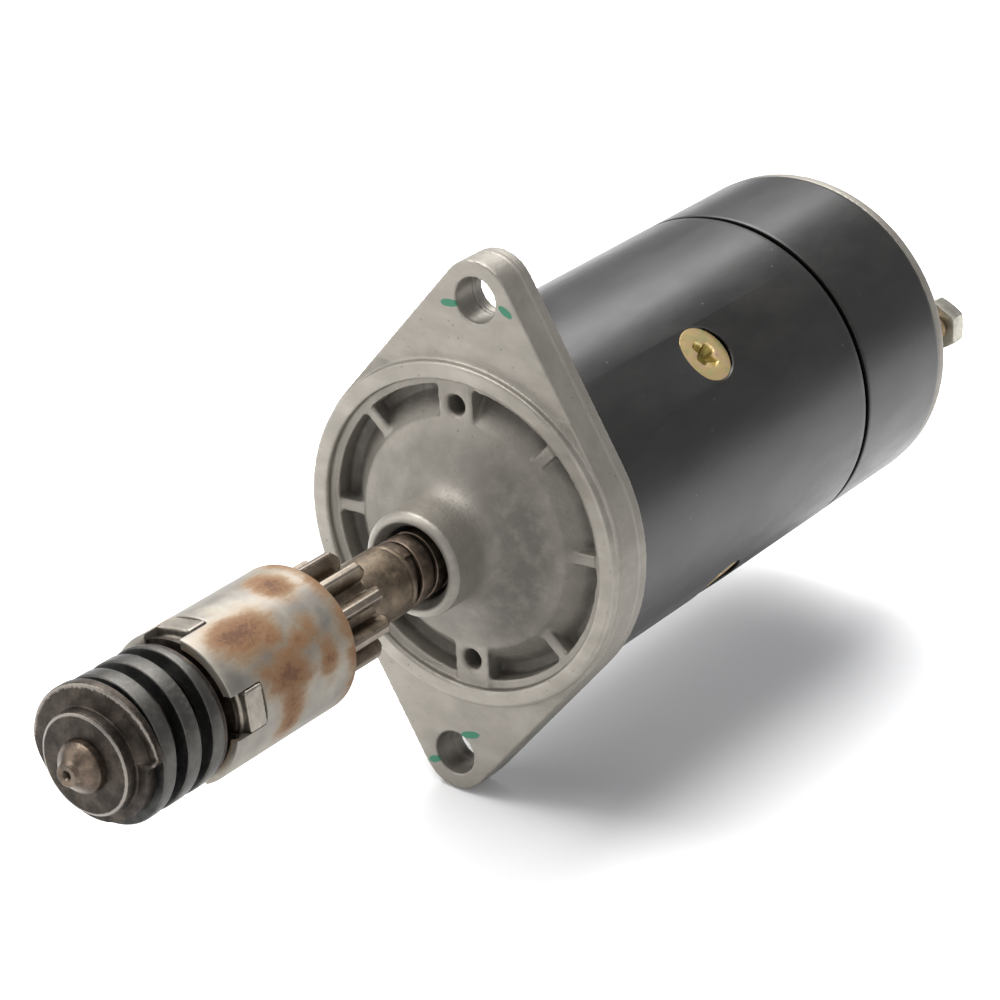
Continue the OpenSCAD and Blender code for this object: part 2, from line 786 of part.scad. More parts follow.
module commutator_bars() {
  color("#b8733a") difference() {
    union() {
      tube(commutator_rear, commutator_front, commutator_r, hub_r);
      tube(commutator_front, commutator_front + riser_t, commutator_r + 2.5, hub_r);
    }
    for (i = [0:commutator_bars_n - 1]) clock(i * 360 / commutator_bars_n)
      block((commutator_rear + commutator_front) / 2, commutator_r - mica_depth, commutator_r + 5, mica_w,
        commutator_len + 20);
  }
}

module commutator_hub() {
  color("#4a2f1f") tube(commutator_rear, commutator_front + riser_t, hub_r, body_shaft_r);
}

module shaft_thrust_washers() {
  color("#6b4a2c") {
    tube(front_shoulder_x, front_shoulder_x + washer_t, washer_r, shaft_r);
    tube(rear_shoulder_x - washer_t, rear_shoulder_x, washer_r - 1, rear_journal_r);
  }
}

module locating_collar() {
  edge = 0.8;
  boss_x = collar_front + collar_boss_h;
  color("#4b443e") turned([
    [shaft_end_r, spring_front], [collar_r, spring_front], [collar_r, collar_front - edge],
    [collar_r - edge, collar_front], [collar_boss_r, collar_front], [collar_boss_r, boss_x - edge],
    [collar_boss_r - edge, boss_x], [shaft_end_r, boss_x]
  ]);
}

module main_spring() {
  color("#3f4347") helix(spring_rear, spring_front, spring_r - spring_wire_w / 2, spring_wire_w / 2,
    spring_wire_t / 2, spring_turns, 4, 36);
}

module screwed_sleeve() {
  color("#57524c") {
    difference() {
      union() {
        thread(sleeve_rear, sleeve_flange_x + 0.5, 0);
        rod(sleeve_flange_x, sleeve_front, sleeve_flange_r);
      }
      rod(sleeve_rear - 1, sleeve_front + 1, bore_r);
    }
    for (i = [0:splines - 1]) clock(i * 360 / splines)
      block((sleeve_rear + sleeve_front) / 2, shaft_end_r + run_gap, bore_r + 0.6, spline_w - 2 * run_gap,
        sleeve_front - sleeve_rear);
  }
}

module spring_washer() {
  color("#4d4a46") tube(sleeve_front, sleeve_front + washer_plate_t, spring_r - 0.4, bore_r + slide_gap);
}

module nut_thrust_washer() {
  color("#6a665f") tube(nut_washer_x, nut_washer_x + nut_washer_t, barrel_bore - slide_gap, thread_r + 0.3);
}

module control_nut() {
  color("#8d8880") difference() {
    union() {
      rod(nut_rear, nut_front, barrel_bore - fit_gap);
      for (i = [0:slots - 1]) clock(slot_angle + i * 360 / slots)
        block(slot_start + lug_gap + lug_len / 2, thread_r + 1, barrel_r - 0.2, slot_w - 2 * lug_gap,
          lug_len);
    }
    thread(nut_rear - 1, nut_front + 1, thread_gap);
  }
}

module barrel() {
  color("#a7a49c") difference() {
    turned(concat(
      [[hub_spigot_r, pinion_front]],
      arc(barrel_r - barrel_fillet, pinion_front + barrel_fillet, barrel_fillet, -90, 0, 5),
      [[barrel_r, barrel_end], [barrel_bore, barrel_end], [barrel_bore, ring_x + ring_t],
       [barrel_bore + ring_depth, ring_x + ring_t], [barrel_bore + ring_depth, ring_x], [barrel_bore, ring_x],
       [barrel_bore, barrel_floor], [hub_spigot_r, barrel_floor]]
    ));
    for (i = [0:slots - 1]) clock(slot_angle + i * 360 / slots)
      block(slot_start + slot_len, thread_r, barrel_r + 1, slot_w, 2 * slot_len);
  }
}

module retaining_ring() {
  color("#55524d") difference() {
    tube(ring_x, ring_x + ring_t, barrel_bore + ring_depth - fit_gap, ring_bore);
    clock(slot_angle) block(ring_x + ring_t / 2, 0, barrel_r, slot_w - 2, ring_t + 1);
  }
}

module pinion() {
  chamfer = 1.6;
  color("#7b6b5e") difference() {
    union() {
      intersection() {
        along(pinion_rear) linear_extrude(pinion_face) gear_outline();
        turned([[0, pinion_rear], [pinion_tip_r - chamfer, pinion_rear],
          [pinion_tip_r + 0.1, pinion_rear + chamfer],
          [pinion_tip_r + 0.1, pinion_front], [0, pinion_front]]);
      }
      rod(pinion_front - 1, barrel_floor + 0.5, hub_spigot_r);
    }
    rod(pinion_rear - 1, barrel_floor + 2, bore_r);
  }
}

module restraining_sleeve() {
  edge = 0.6;
  color("#8a7f72") turned([
    [bore_r, neck_rear], [neck_r - edge, neck_rear], [neck_r, neck_rear + edge], [neck_r, pinion_rear],
    [bore_r, pinion_rear]
  ]);
}

module restraining_spring() {
  color("#4a4540") helix(bush_front_x, neck_rear, restraint_mean_r, restraint_wire_r, restraint_wire_r,
    restraint_turns, 6, 20);
}

drive_end_bracket();
drive_end_bush();
yoke();
pole_shoes();
pole_screws();
field_coils();
field_link();
cover_band();
band_clamp_screw();
band_clamp_nut();
commutator_end_bracket();
commutator_end_bush();
dust_cap();
through_bolts();
through_bolt_washers();
brush_plate();
brush_boxes_earthed();
brush_boxes_insulated();
brush_box_insulators();
brush_springs();
terminal_stud();
terminal_nuts();
terminal_washer();
terminal_insulator();
armature_shaft();
armature_core();
armature_windings();
commutator_bars();
commutator_hub();
shaft_thrust_washers();
locating_collar();
main_spring();
screwed_sleeve();
spring_washer();
nut_thrust_washer();
control_nut();
barrel();
retaining_ring();
pinion();
restraining_sleeve();
restraining_spring();
brush_1();
brush_2();
brush_3();
brush_4();
brush_leads();
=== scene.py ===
"""Looks of the inertia-drive starter motor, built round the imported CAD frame."""

import math

import bmesh
import bpy
from mathutils import Matrix, Vector


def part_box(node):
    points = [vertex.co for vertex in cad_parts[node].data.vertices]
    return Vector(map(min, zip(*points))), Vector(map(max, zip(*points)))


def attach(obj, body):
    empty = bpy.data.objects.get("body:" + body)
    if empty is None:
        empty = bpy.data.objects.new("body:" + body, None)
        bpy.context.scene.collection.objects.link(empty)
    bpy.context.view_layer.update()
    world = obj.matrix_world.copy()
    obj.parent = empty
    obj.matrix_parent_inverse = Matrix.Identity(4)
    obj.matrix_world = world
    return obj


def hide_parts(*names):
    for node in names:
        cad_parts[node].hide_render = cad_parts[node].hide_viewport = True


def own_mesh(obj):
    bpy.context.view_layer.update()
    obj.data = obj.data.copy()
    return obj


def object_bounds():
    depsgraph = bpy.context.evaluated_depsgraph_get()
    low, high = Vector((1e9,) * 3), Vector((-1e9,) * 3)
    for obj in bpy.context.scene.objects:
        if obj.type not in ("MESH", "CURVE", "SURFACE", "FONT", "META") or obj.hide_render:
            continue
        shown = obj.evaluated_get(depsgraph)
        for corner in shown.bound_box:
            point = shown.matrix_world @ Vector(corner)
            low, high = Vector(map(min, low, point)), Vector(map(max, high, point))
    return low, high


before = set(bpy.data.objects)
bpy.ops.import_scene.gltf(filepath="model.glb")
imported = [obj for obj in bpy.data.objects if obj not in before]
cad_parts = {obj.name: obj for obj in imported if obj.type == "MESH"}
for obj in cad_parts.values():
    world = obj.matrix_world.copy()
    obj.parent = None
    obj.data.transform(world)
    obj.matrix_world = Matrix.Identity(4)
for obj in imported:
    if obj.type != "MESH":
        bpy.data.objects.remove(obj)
cad_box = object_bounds()

MM = 0.001
TURN = 2 * math.pi

# Clock angles run from +Z towards +Y, in degrees, as in the CAD model
POLE_ANGLE = 38
BOLT_ANGLE = POLE_ANGLE - 45
SLOT_ANGLE = 77
CLAMP_ANGLE = 262
TERMINAL_ANGLE = 84


# ---------------------------------------------------------------- frame sizes

def ends(node):
    """Lowest and highest station of a node along X, in millimetres."""
    low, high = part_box(node)
    return low.x / MM, high.x / MM


def radius(node):
    """Largest radius about the shaft axis of a round node, in millimetres."""
    low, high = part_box(node)
    return max(high.y, high.z, -low.y, -low.z) / MM


YOKE_REAR, FLANGE_BACK = ends("yoke")
BAND_REAR, BAND_FRONT = ends("cover_band")
FLANGE_T = -FLANGE_BACK
YOKE_R = (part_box("yoke")[1].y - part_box("yoke")[0].y) / MM / 2
NECK_REAR, PINION_REAR = ends("restraining_sleeve")
BARREL_REAR, BARREL_END = ends("barrel")
SPRING_REAR, SPRING_FRONT = ends("main_spring")
COLLAR_REAR, COLLAR_FRONT = ends("locating_collar")
SHAFT_REAR, SHAFT_TIP = ends("armature_shaft")
BARREL_R = radius("barrel")
COLLAR_R = radius("locating_collar")
NECK_R = radius("restraining_sleeve")
PINION_R = radius("pinion")


# ---------------------------------------------------------------- mesh building

def polar(x, r, angle):
    """Point in metres at station x and radius r, both in millimetres, and a clock angle in radians."""
    return Vector((x * MM, r * MM * math.sin(angle), r * MM * math.cos(angle)))


def shade(mesh, smooth_angle):
    """Smooth shading, with edges sharper than smooth_angle degrees kept sharp."""
    mesh.shade_smooth()
    mesh.set_sharp_from_angle(angle=math.radians(smooth_angle))


def linked(name, data):
    obj = bpy.data.objects.new(name, data)
    bpy.context.scene.collection.objects.link(obj)
    return obj


def to_object(name, mesh, material, smooth_angle=32):
    shade(mesh, smooth_angle)
    obj = linked(name, mesh)
    if material:
        obj.data.materials.append(material)
    return obj


def mesh_from(name, points, faces):
    mesh = bpy.data.meshes.new(name)
    mesh.from_pydata(points, [], faces)
    build = bmesh.new()
    build.from_mesh(mesh)
    bmesh.ops.remove_doubles(build, verts=build.verts, dist=1e-7)
    bmesh.ops.recalc_face_normals(build, faces=build.faces)
    build.to_mesh(mesh)
    build.free()
    return mesh


def skin(rings, closed=False):
    """Points and faces of a tube through rings of equal length, capped at its ends unless closed."""
    count, size = len(rings), len(rings[0])
    points = [p for ring in rings for p in ring]
    spans = count if closed else count - 1
    faces = []
    for i in range(spans):
        a, b = i * size, (i + 1) % count * size
        for k in range(size):
            n = (k + 1) % size
            faces.append((a + k, a + n, b + n, b + k))
    if not closed:
        faces.append(tuple(range(size - 1, -1, -1)))
        faces.append(tuple((count - 1) * size + k for k in range(size)))
    return points, faces


def rounded(outline, closed=False):
    """Outline of (x, r, fillet) points with each corner turned into an arc of that fillet radius."""
    result = []
    count = len(outline)
    for i, (x, r, fillet) in enumerate(outline):
        at_end = not closed and i in (0, count - 1)
        if fillet <= 0 or at_end:
            result.append((x, r))
            continue
        here = Vector((x, r))
        back = Vector(outline[i - 1][:2]) - here
        ahead = Vector(outline[(i + 1) % count][:2]) - here
        reach = min(back.length, ahead.length) * 0.48
        half = back.angle(ahead) / 2
        if half < 0.02 or half > math.pi / 2 - 0.02:
            result.append((x, r))
            continue
        cut = min(fillet / math.tan(half), reach)
        arc_r = cut * math.tan(half)
        centre = here + (back.normalized() + ahead.normalized()).normalized() * (arc_r / math.sin(half))
        first = here + back.normalized() * cut - centre
        sweep = first.angle_signed(here + ahead.normalized() * cut - centre)
        steps = max(2, int(abs(math.degrees(sweep)) / 14))
        for step in range(steps + 1):
            turned = first.copy()
            turned.rotate(Matrix.Rotation(-sweep * step / steps, 2))
            result.append(tuple(centre + turned))
    return result


def lathe(name, outline, material, segments=192, shape=None):
    """Solid of revolution about the shaft axis from a closed outline of (x, r, fillet) in millimetres.
    shape(x, r, angle) may give another (x, r) for each point."""
    profile = rounded(outline, closed=True)
    rings = []
    for step in range(segments):
        angle = TURN * step / segments
        rings.append([polar(*(shape(x, r, angle) if shape else (x, r)), angle) for x, r in profile])
    points, faces = skin(rings, closed=True)
    return to_object(name, mesh_from(name, points, faces), material)


def clock_matrix(angle_deg):
    return Matrix.Rotation(-math.radians(angle_deg), 4, "X")


def place(obj, x=0, r=0, angle_deg=0):
    """Moves a mesh made about the X axis out to station x and radius r at a clock angle."""
    obj.data.transform(clock_matrix(angle_deg) @ Matrix.Translation((x * MM, 0, r * MM)))
    return obj


def radial(obj, x, r, angle_deg, twist=0):
    """Stands a mesh made about the X axis out along the radius, its origin at station x and radius r."""
    up = Matrix.Rotation(-math.pi / 2, 4, "Y")
    spin = Matrix.Rotation(math.radians(twist), 4, "X")
    obj.data.transform(clock_matrix(angle_deg) @ Matrix.Translation((x * MM, 0, r * MM)) @ up @ spin)
    return obj


def box_mesh(name, low, high, bevel=0.0):
    """Block between two corners in millimetres."""
    build = bmesh.new()
    bmesh.ops.create_cube(build, size=1)
    size = [(h - l) * MM for l, h in zip(low, high)]
    middle = [(h + l) / 2 * MM for l, h in zip(low, high)]
    bmesh.ops.scale(build, vec=size, verts=build.verts)
    bmesh.ops.translate(build, vec=middle, verts=build.verts)
    if bevel:
        bmesh.ops.bevel(build, geom=build.edges[:], offset=bevel * MM, segments=3, affect="EDGES",
                        profile=0.5)
    mesh = bpy.data.meshes.new(name)
    build.to_mesh(mesh)
    build.free()
    return to_object(name, mesh, None)


def apply_modifiers(obj):
    graph = bpy.context.evaluated_depsgraph_get()
    mesh = bpy.data.meshes.new_from_object(obj.evaluated_get(graph), depsgraph=graph)
    old = obj.data
    obj.modifiers.clear()
    obj.data = mesh
    bpy.data.meshes.remove(old)
    return obj


def combine(obj, others, operation="DIFFERENCE"):
    """Boolean of obj with each of the others, which are used up."""
    for other in others:
        modifier = obj.modifiers.new("cut", "BOOLEAN")
        modifier.operation = operation
        modifier.solver = "EXACT"
        modifier.object = other
    bpy.context.view_layer.update()
    apply_modifiers(obj)
    for other in others:
        bpy.data.objects.remove(other, do_unlink=True)
    return obj


def bevel(obj, width, segments=3, angle=34):
    """Rounds every edge sharper than angle."""
    modifier = obj.modifiers.new("bevel", "BEVEL")
    modifier.width = width * MM
    modifier.segments = segments
    modifier.limit_method = "ANGLE"
    modifier.angle_limit = math.radians(angle)
    modifier.miter_outer = "MITER_ARC"
    bpy.context.view_layer.update()
    apply_modifiers(obj)
    shade(obj.data, angle)
    return obj


def soft_copy(name, node, material, voxel, rounds, smooth_angle=50):
    """Piece with the CAD node's shape whose edges are worn round, as on a casting or a used forging."""
    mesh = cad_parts[node].data.copy()
    obj = to_object(name, mesh, None)
    obj.data.materials.clear()
    obj.data.materials.append(material)
    remesh = obj.modifiers.new("remesh", "REMESH")
    remesh.mode = "VOXEL"
    remesh.voxel_size = voxel * MM
    smooth = obj.modifiers.new("smooth", "SMOOTH")
    smooth.iterations = rounds
    smooth.factor = 0.5
    bpy.context.view_layer.update()
    apply_modifiers(obj)
    shade(obj.data, smooth_angle)
    return obj


def attribute(obj, name, rule):
    """Point attribute from rule(position in millimetres)."""
    layer = obj.data.attributes.new(name, "FLOAT", "POINT")
    for vertex, item in zip(obj.data.vertices, layer.data):
        item.value = rule(vertex.co / MM)
    return obj


# ---------------------------------------------------------------- materials

class Finish:
    """A node material whose patterns are laid out in millimetres of the object's own space."""

    def __init__(self, name, metallic=0.0, roughness=0.5, **sockets):
        self.material = bpy.data.materials.new(name)
        self.material.use_nodes = True
        self.tree = self.material.node_tree
        self.shader = self.tree.nodes["Principled BSDF"]
        self.shader.inputs["Metallic"].default_value = metallic
        self.shader.inputs["Roughness"].default_value = roughness
        for socket, value in sockets.items():
            self.shader.inputs[socket.replace("_", " ")].default_value = value
        space = self.add("ShaderNodeTexCoord")
        scaled = self.add("ShaderNodeVectorMath", operation="SCALE")
        scaled.inputs["Scale"].default_value = 1 / MM
        self.link(space.outputs["Object"], scaled.inputs[0])
        self.place = scaled.outputs[0]
        split = self.add("ShaderNodeSeparateXYZ")
        self.link(self.place, split.inputs[0])
        self.x = split.outputs["X"]

    def add(self, kind, **settings):
        node = self.tree.nodes.new(kind)
        for key, value in settings.items():
            setattr(node, key, value)
        return node

    def link(self, source, target):
        self.tree.links.new(source, target)

    def feed(self, value, target):
        """Joins a socket, or sets a plain number or colour."""
        if isinstance(value, bpy.types.NodeSocket):
            self.link(value, target)
        else:
            target.default_value = value

    def noise(self, size, detail=4.0, rough=0.55, stretch=(1, 1, 1), shift=0.0):
        """Cloudy value from 0 to 1 with features about size millimetres across, drawn out along stretch."""
        move = self.add("ShaderNodeMapping")
        move.inputs["Scale"].default_value = [1 / size / s for s in stretch]
        move.inputs["Location"].default_value = (shift, shift * 0.7, shift * 1.3)
        self.link(self.place, move.inputs[0])
        node = self.add("ShaderNodeTexNoise")
        for socket, number in (("Scale", 1.0), ("Detail", detail), ("Roughness", rough)):
            node.inputs[socket].default_value = number
        self.link(move.outputs[0], node.inputs["Vector"])
        return node.outputs["Fac"]

    def cells(self, size, shift=0.0):
        """Distance to the nearest of points scattered about size millimetres apart."""
        move = self.add("ShaderNodeMapping")
        move.inputs["Scale"].default_value = [1 / size] * 3
        move.inputs["Location"].default_value = (shift, shift, shift)
        self.link(self.place, move.inputs[0])
        node = self.add("ShaderNodeTexVoronoi")
        node.inputs["Scale"].default_value = 1.0
        self.link(move.outputs[0], node.inputs["Vector"])
        return node.outputs["Distance"]

    def window(self, value, low, high, start=0.0, end=1.0):
        """start below low, end above high, and a smooth step between."""
        node = self.add("ShaderNodeMapRange", interpolation_type="SMOOTHSTEP")
        self.feed(value, node.inputs["Value"])
        for socket, number in (("From Min", low), ("From Max", high), ("To Min", start), ("To Max", end)):
            node.inputs[socket].default_value = number
        return node.outputs["Result"]

    def sum(self, operation, a, b=0.0, clamp=False):
        """Result of one arithmetic operation on two values."""
        node = self.add("ShaderNodeMath", operation=operation, use_clamp=clamp)
        self.feed(a, node.inputs[0])
        self.feed(b, node.inputs[1])
        return node.outputs[0]

    def times(self, *values):
        result = values[0]
        for value in values[1:]:
            result = self.sum("MULTIPLY", result, value)
        return result

    def ragged(self, value, cloud, amount):
        """Value with noise about zero added to it, for a ragged edge."""
        return self.sum("ADD", value, self.times(self.sum("SUBTRACT", cloud, 0.5), amount))

    def mix(self, share, a, b):
        """Colour a where share is 0 and colour b where it is 1."""
        node = self.add("ShaderNodeMix", data_type="RGBA")
        self.feed(share, node.inputs["Factor"])
        for value, target in ((a, node.inputs["A"]), (b, node.inputs["B"])):
            self.feed((*value, 1) if isinstance(value, tuple) else value, target)
        return node.outputs["Result"]

    def blend(self, share, a, b):
        """Number a where share is 0 and number b where it is 1."""
        node = self.add("ShaderNodeMix", data_type="FLOAT")
        self.feed(share, node.inputs["Factor"])
        self.feed(a, node.inputs["A"])
        self.feed(b, node.inputs["B"])
        return node.outputs["Result"]

    def mask(self, name):
        """Value of a point attribute of the mesh."""
        node = self.add("ShaderNodeAttribute", attribute_name=name)
        return node.outputs["Fac"]

    def relief(self, *layers):
        """Bump from (height value, depth in millimetres) layers."""
        normal = None
        for height, depth in layers:
            node = self.add("ShaderNodeBump")
            node.inputs["Strength"].default_value = 1.0
            node.inputs["Distance"].default_value = depth * MM
            self.link(height, node.inputs["Height"])
            if normal:
                self.link(normal, node.inputs["Normal"])
            normal = node.outputs["Normal"]
        self.link(normal, self.shader.inputs["Normal"])

    def finish(self, colour=None, rough=None, metal=None):
        for value, socket in ((colour, "Base Color"), (rough, "Roughness"), (metal, "Metallic")):
            if value is not None:
                self.feed((*value, 1) if isinstance(value, tuple) else value, self.shader.inputs[socket])
        return self.material


def cast_aluminium():
    """Sand-cast bracket: grainy skin, darkening that is partly grease and partly painted shade, brighter
    where it was machined, green inspection marks.
    """
    f = Finish("cast_aluminium")
    broad = f.noise(14, 3)
    blotch = f.noise(4.5, 5, 0.6, shift=3)
    grain = f.noise(0.7, 3, 0.6, shift=7)
    pores = f.window(f.cells(2.6, 1.5), 0.05, 0.16, 1, 0)
    machined = f.mask("machined")
    grease_and_shade = f.mask("grease_and_shade")
    skin_tone = f.mix(f.window(broad, 0.3, 0.75), (0.215, 0.198, 0.170), (0.285, 0.264, 0.230))
    skin_tone = f.mix(f.times(f.window(blotch, 0.5, 0.75), 0.22), skin_tone, (0.15, 0.130, 0.102))
    skin_tone = f.mix(f.times(f.window(grain, 0.35, 0.7), 0.2), skin_tone, (0.31, 0.288, 0.252))
    turned = f.mix(f.window(f.noise(6, 4, stretch=(1, 3, 1), shift=5), 0.3, 0.75),
                   (0.255, 0.236, 0.204), (0.335, 0.311, 0.272))
    tone = f.mix(machined, skin_tone, turned)
    # Painted shade, partly old grease: darkens and dulls the skin in the hollows, behind the flange and on
    # the +Y side.
    greasy_shade = f.times(grease_and_shade, f.window(blotch, 0.22, 0.60, 0.55, 1.0))
    tone = f.mix(f.sum("MULTIPLY", greasy_shade, 0.88, clamp=True), tone, (0.062, 0.056, 0.048))
    seam = f.times(f.window(f.x, -8.3, -7.7), f.window(f.x, -7.3, -6.7, 1, 0))
    tone = f.mix(f.times(seam, 0.35), tone, (0.36, 0.335, 0.295))
    tone = f.mix(f.times(pores, f.window(grain, 0.45, 0.6), 0.7), tone, (0.10, 0.09, 0.08))
    paint = f.window(f.ragged(f.mask("paint"), blotch, 0.5), 0.42, 0.55)
    tone = f.mix(paint, tone, (0.012, 0.14, 0.075))
    rough = f.blend(machined, f.window(grain, 0.3, 0.7, 0.42, 0.58), f.window(blotch, 0.3, 0.7, 0.34, 0.46))
    rough = f.blend(greasy_shade, rough, 0.72)
    metal = f.blend(f.sum("MAXIMUM", paint, f.times(greasy_shade, 0.6)), 0.72, 0.0)
    lay = f.noise(0.45, 2, stretch=(40, 14, 1), shift=2)
    rough_skin = f.sum("SUBTRACT", 1.0, machined)
    f.relief((f.times(grain, rough_skin), 0.10), (f.times(blotch, rough_skin), 0.15),
             (f.times(lay, machined), 0.02), (seam, 0.25))
    return f.finish(tone, rough, metal)


def black_paint():
    """Black enamel over steel: slight orange peel, dusty film, rubs along the length, chips at the edges, and
    painted shade, near black, in the seam under the band.
    """
    f = Finish("black_paint", 0.0, 0.4, Coat_Weight=0.25, Coat_Roughness=0.22, Specular_IOR_Level=0.5)
    broad = f.noise(26, 3, shift=1)
    film = f.noise(7, 5, 0.62, stretch=(2.5, 1, 1), shift=4)
    peel = f.noise(1.5, 2, shift=9)
    rubs = f.window(f.noise(1.3, 4, 0.7, stretch=(16, 1, 1), shift=6), 0.66, 0.78)
    scuffs = f.window(f.noise(0.8, 5, 0.7, stretch=(1, 5, 5), shift=12), 0.68, 0.80)
    patch = f.window(broad, 0.46, 0.66)
    specks = f.window(f.cells(5.2, 2.2), 0.035, 0.075, 1, 0)
    chips = f.window(f.ragged(f.mask("edge"), film, 1.4), 0.86, 1.0)
    tone = f.mix(f.window(film, 0.3, 0.8), (0.0070, 0.0062, 0.0052), (0.0125, 0.0112, 0.0096))
    tone = f.mix(f.times(rubs, patch, 0.40), tone, (0.060, 0.055, 0.048))
    tone = f.mix(f.times(scuffs, 0.30), tone, (0.080, 0.074, 0.066))
    tone = f.mix(f.times(specks, patch, 0.5), tone, (0.18, 0.17, 0.15))
    tone = f.mix(chips, tone, (0.26, 0.225, 0.18))
    # Painted shade: the gap mask turns the seam below the band's edge near black, dull and without
    # reflections.
    gap = f.mask("gap")
    tone = f.mix(gap, tone, (0.0012, 0.0011, 0.0010))
    rough = f.window(film, 0.3, 0.75, 0.33, 0.42)
    rough = f.blend(f.sum("MAXIMUM", f.times(rubs, patch), chips), rough, 0.55)
    rough = f.blend(gap, rough, 0.9)
    f.link(f.window(gap, 0.2, 0.8, 0.42, 0.0), f.shader.inputs["Specular IOR Level"])
    f.link(f.window(gap, 0.2, 0.8, 0.12, 0.0), f.shader.inputs["Coat Weight"])
    f.relief((peel, 0.02), (film, 0.012), (chips, -0.05))
    return f.finish(tone, rough)


def rusty_zinc():
    """Plated drive barrel: chalky zinc with a brushed lay, and rust where the rust mask has patches."""
    f = Finish("rusty_zinc")
    cloud = f.noise(9, 5, 0.6, shift=2)
    streak = f.noise(5, 5, 0.65, stretch=(2.6, 1, 1), shift=8)
    fine = f.noise(1.1, 4, 0.7, shift=5)
    brushed = f.noise(0.5, 3, 0.6, stretch=(1, 9, 9), shift=1)
    rust_mask = f.mask("rust")
    spread = f.sum("ADD", f.times(rust_mask, 0.62), f.times(streak, 0.75))
    halo = f.window(spread, 0.42, 0.80)
    rust = f.window(f.ragged(spread, fine, 0.22), 0.60, 0.94)
    deep = f.window(f.ragged(spread, fine, 0.7), 0.88, 1.14)
    plate = f.mix(f.window(cloud, 0.3, 0.75), (0.205, 0.188, 0.170), (0.325, 0.303, 0.255))
    plate = f.mix(f.times(f.window(fine, 0.5, 0.75), 0.25), plate, (0.16, 0.140, 0.115))
    tone = f.mix(f.times(halo, 0.75), plate, (0.235, 0.16, 0.088))
    tone = f.mix(f.times(rust, 0.88), tone, (0.165, 0.074, 0.024))
    tone = f.mix(f.times(deep, 0.80), tone, (0.080, 0.030, 0.013))
    rough = f.blend(rust, f.window(cloud, 0.3, 0.7, 0.42, 0.56), 0.78)
    metal = f.blend(f.sum("MAXIMUM", rust, f.times(halo, 0.5)), 0.80, 0.05)
    f.relief((brushed, 0.012), (f.times(fine, rust), 0.07), (cloud, 0.05))
    return f.finish(tone, rough, metal)


def steel(name, dark, light, rough_low, rough_high, patina, patina_share=0.5, bright_edge=0.0):
    """Bare or oiled steel between two tones, with a patina, and bright where the edge mask is worn."""
    f = Finish(name)
    cloud = f.noise(5, 5, 0.62, shift=len(name) * 0.37)
    fine = f.noise(0.9, 4, 0.65, shift=len(name) * 0.21)
    marks = f.noise(0.5, 3, 0.6, shift=3)
    tone = f.mix(f.window(cloud, 0.34, 0.68), dark, light)
    share = f.window(f.sum("ADD", f.times(cloud, 0.4), f.times(fine, 0.6)), 0.46, 0.66)
    tone = f.mix(f.times(share, patina_share), tone, patina)
    rough = f.window(fine, 0.3, 0.7, rough_low, rough_high)
    metal = f.window(share, 0.2, 1.0, 0.92, 0.55)
    if bright_edge:
        worn = f.window(f.ragged(f.mask("edge"), fine, 0.7), 0.55, 0.85)
        tone = f.mix(f.times(worn, bright_edge), tone, (0.46, 0.42, 0.37))
        rough = f.blend(f.times(worn, bright_edge), rough, 0.28)
    f.relief((marks, 0.012), (fine, 0.03), (cloud, 0.05))
    return f.finish(tone, rough, metal)


def yellow_zinc():
    """Yellow passivated screw: gold film that shifts to green and pink, with painted shade in the cross
    recess.
    """
    f = Finish("yellow_zinc", 0.0, 0.35)
    hue = f.noise(3.6, 3, shift=2)
    spots = f.noise(1.2, 4, 0.65, shift=6)
    tone = f.mix(f.window(hue, 0.34, 0.50), (0.52, 0.46, 0.22), (0.62, 0.46, 0.22))
    tone = f.mix(f.window(hue, 0.52, 0.68), tone, (0.60, 0.42, 0.30))
    tone = f.mix(f.times(f.window(spots, 0.55, 0.72), 0.4), tone, (0.34, 0.24, 0.12))
    # Painted shade: the cross recess is coloured a darker gold.
    tone = f.mix(f.window(f.mask("recess"), 0.2, 0.8), tone, (0.26, 0.20, 0.055))
    f.relief((spots, 0.03), (hue, 0.03))
    return f.finish(tone, f.window(spots, 0.3, 0.7, 0.30, 0.46), 0.82)


def plain(name, dark, light, metallic, rough_low, rough_high, size=3.0, depth=0.03, stretch=(1, 1, 1)):
    """Two-tone mottled finish for inner parts and mouldings."""
    f = Finish(name, metallic, rough_low)
    cloud = f.noise(size, 5, 0.6, stretch=stretch, shift=len(name) * 0.3)
    fine = f.noise(size / 5, 3, 0.6, shift=len(name) * 0.5)
    tone = f.mix(f.window(cloud, 0.32, 0.7), dark, light)
    f.relief((cloud, depth), (fine, depth / 2))
    return f.finish(tone, f.window(fine, 0.3, 0.7, rough_low, rough_high))


ALUMINIUM = cast_aluminium()
PAINT = black_paint()
BARREL_ZINC = rusty_zinc()
YELLOW_ZINC = yellow_zinc()
ZINC = steel("bright_zinc", (0.30, 0.285, 0.245), (0.46, 0.44, 0.38),
             0.28, 0.44, (0.24, 0.19, 0.12), 0.35)
WORN_STEEL = steel("worn_steel", (0.100, 0.078, 0.056), (0.205, 0.168, 0.122),
                   0.32, 0.50, (0.130, 0.066, 0.034), 0.5, 0.25)
DARK_STEEL = steel("dark_steel", (0.022, 0.018, 0.0145), (0.058, 0.048, 0.039),
                   0.36, 0.56, (0.045, 0.027, 0.017), 0.5, 0.40)
SHAFT_STEEL = steel("shaft_steel", (0.065, 0.050, 0.038), (0.150, 0.117, 0.090),
                    0.30, 0.48, (0.10, 0.052, 0.028), 0.55, 0.4)
SPRING_STEEL = steel("spring_steel", (0.021, 0.0215, 0.0205), (0.046, 0.047, 0.044),
                     0.38, 0.54, (0.030, 0.025, 0.021), 0.4, 0.10)
LUG_STEEL = steel("lug_steel", (0.155, 0.140, 0.118), (0.27, 0.245, 0.205),
                  0.36, 0.52, (0.16, 0.095, 0.05), 0.3, 0.25)
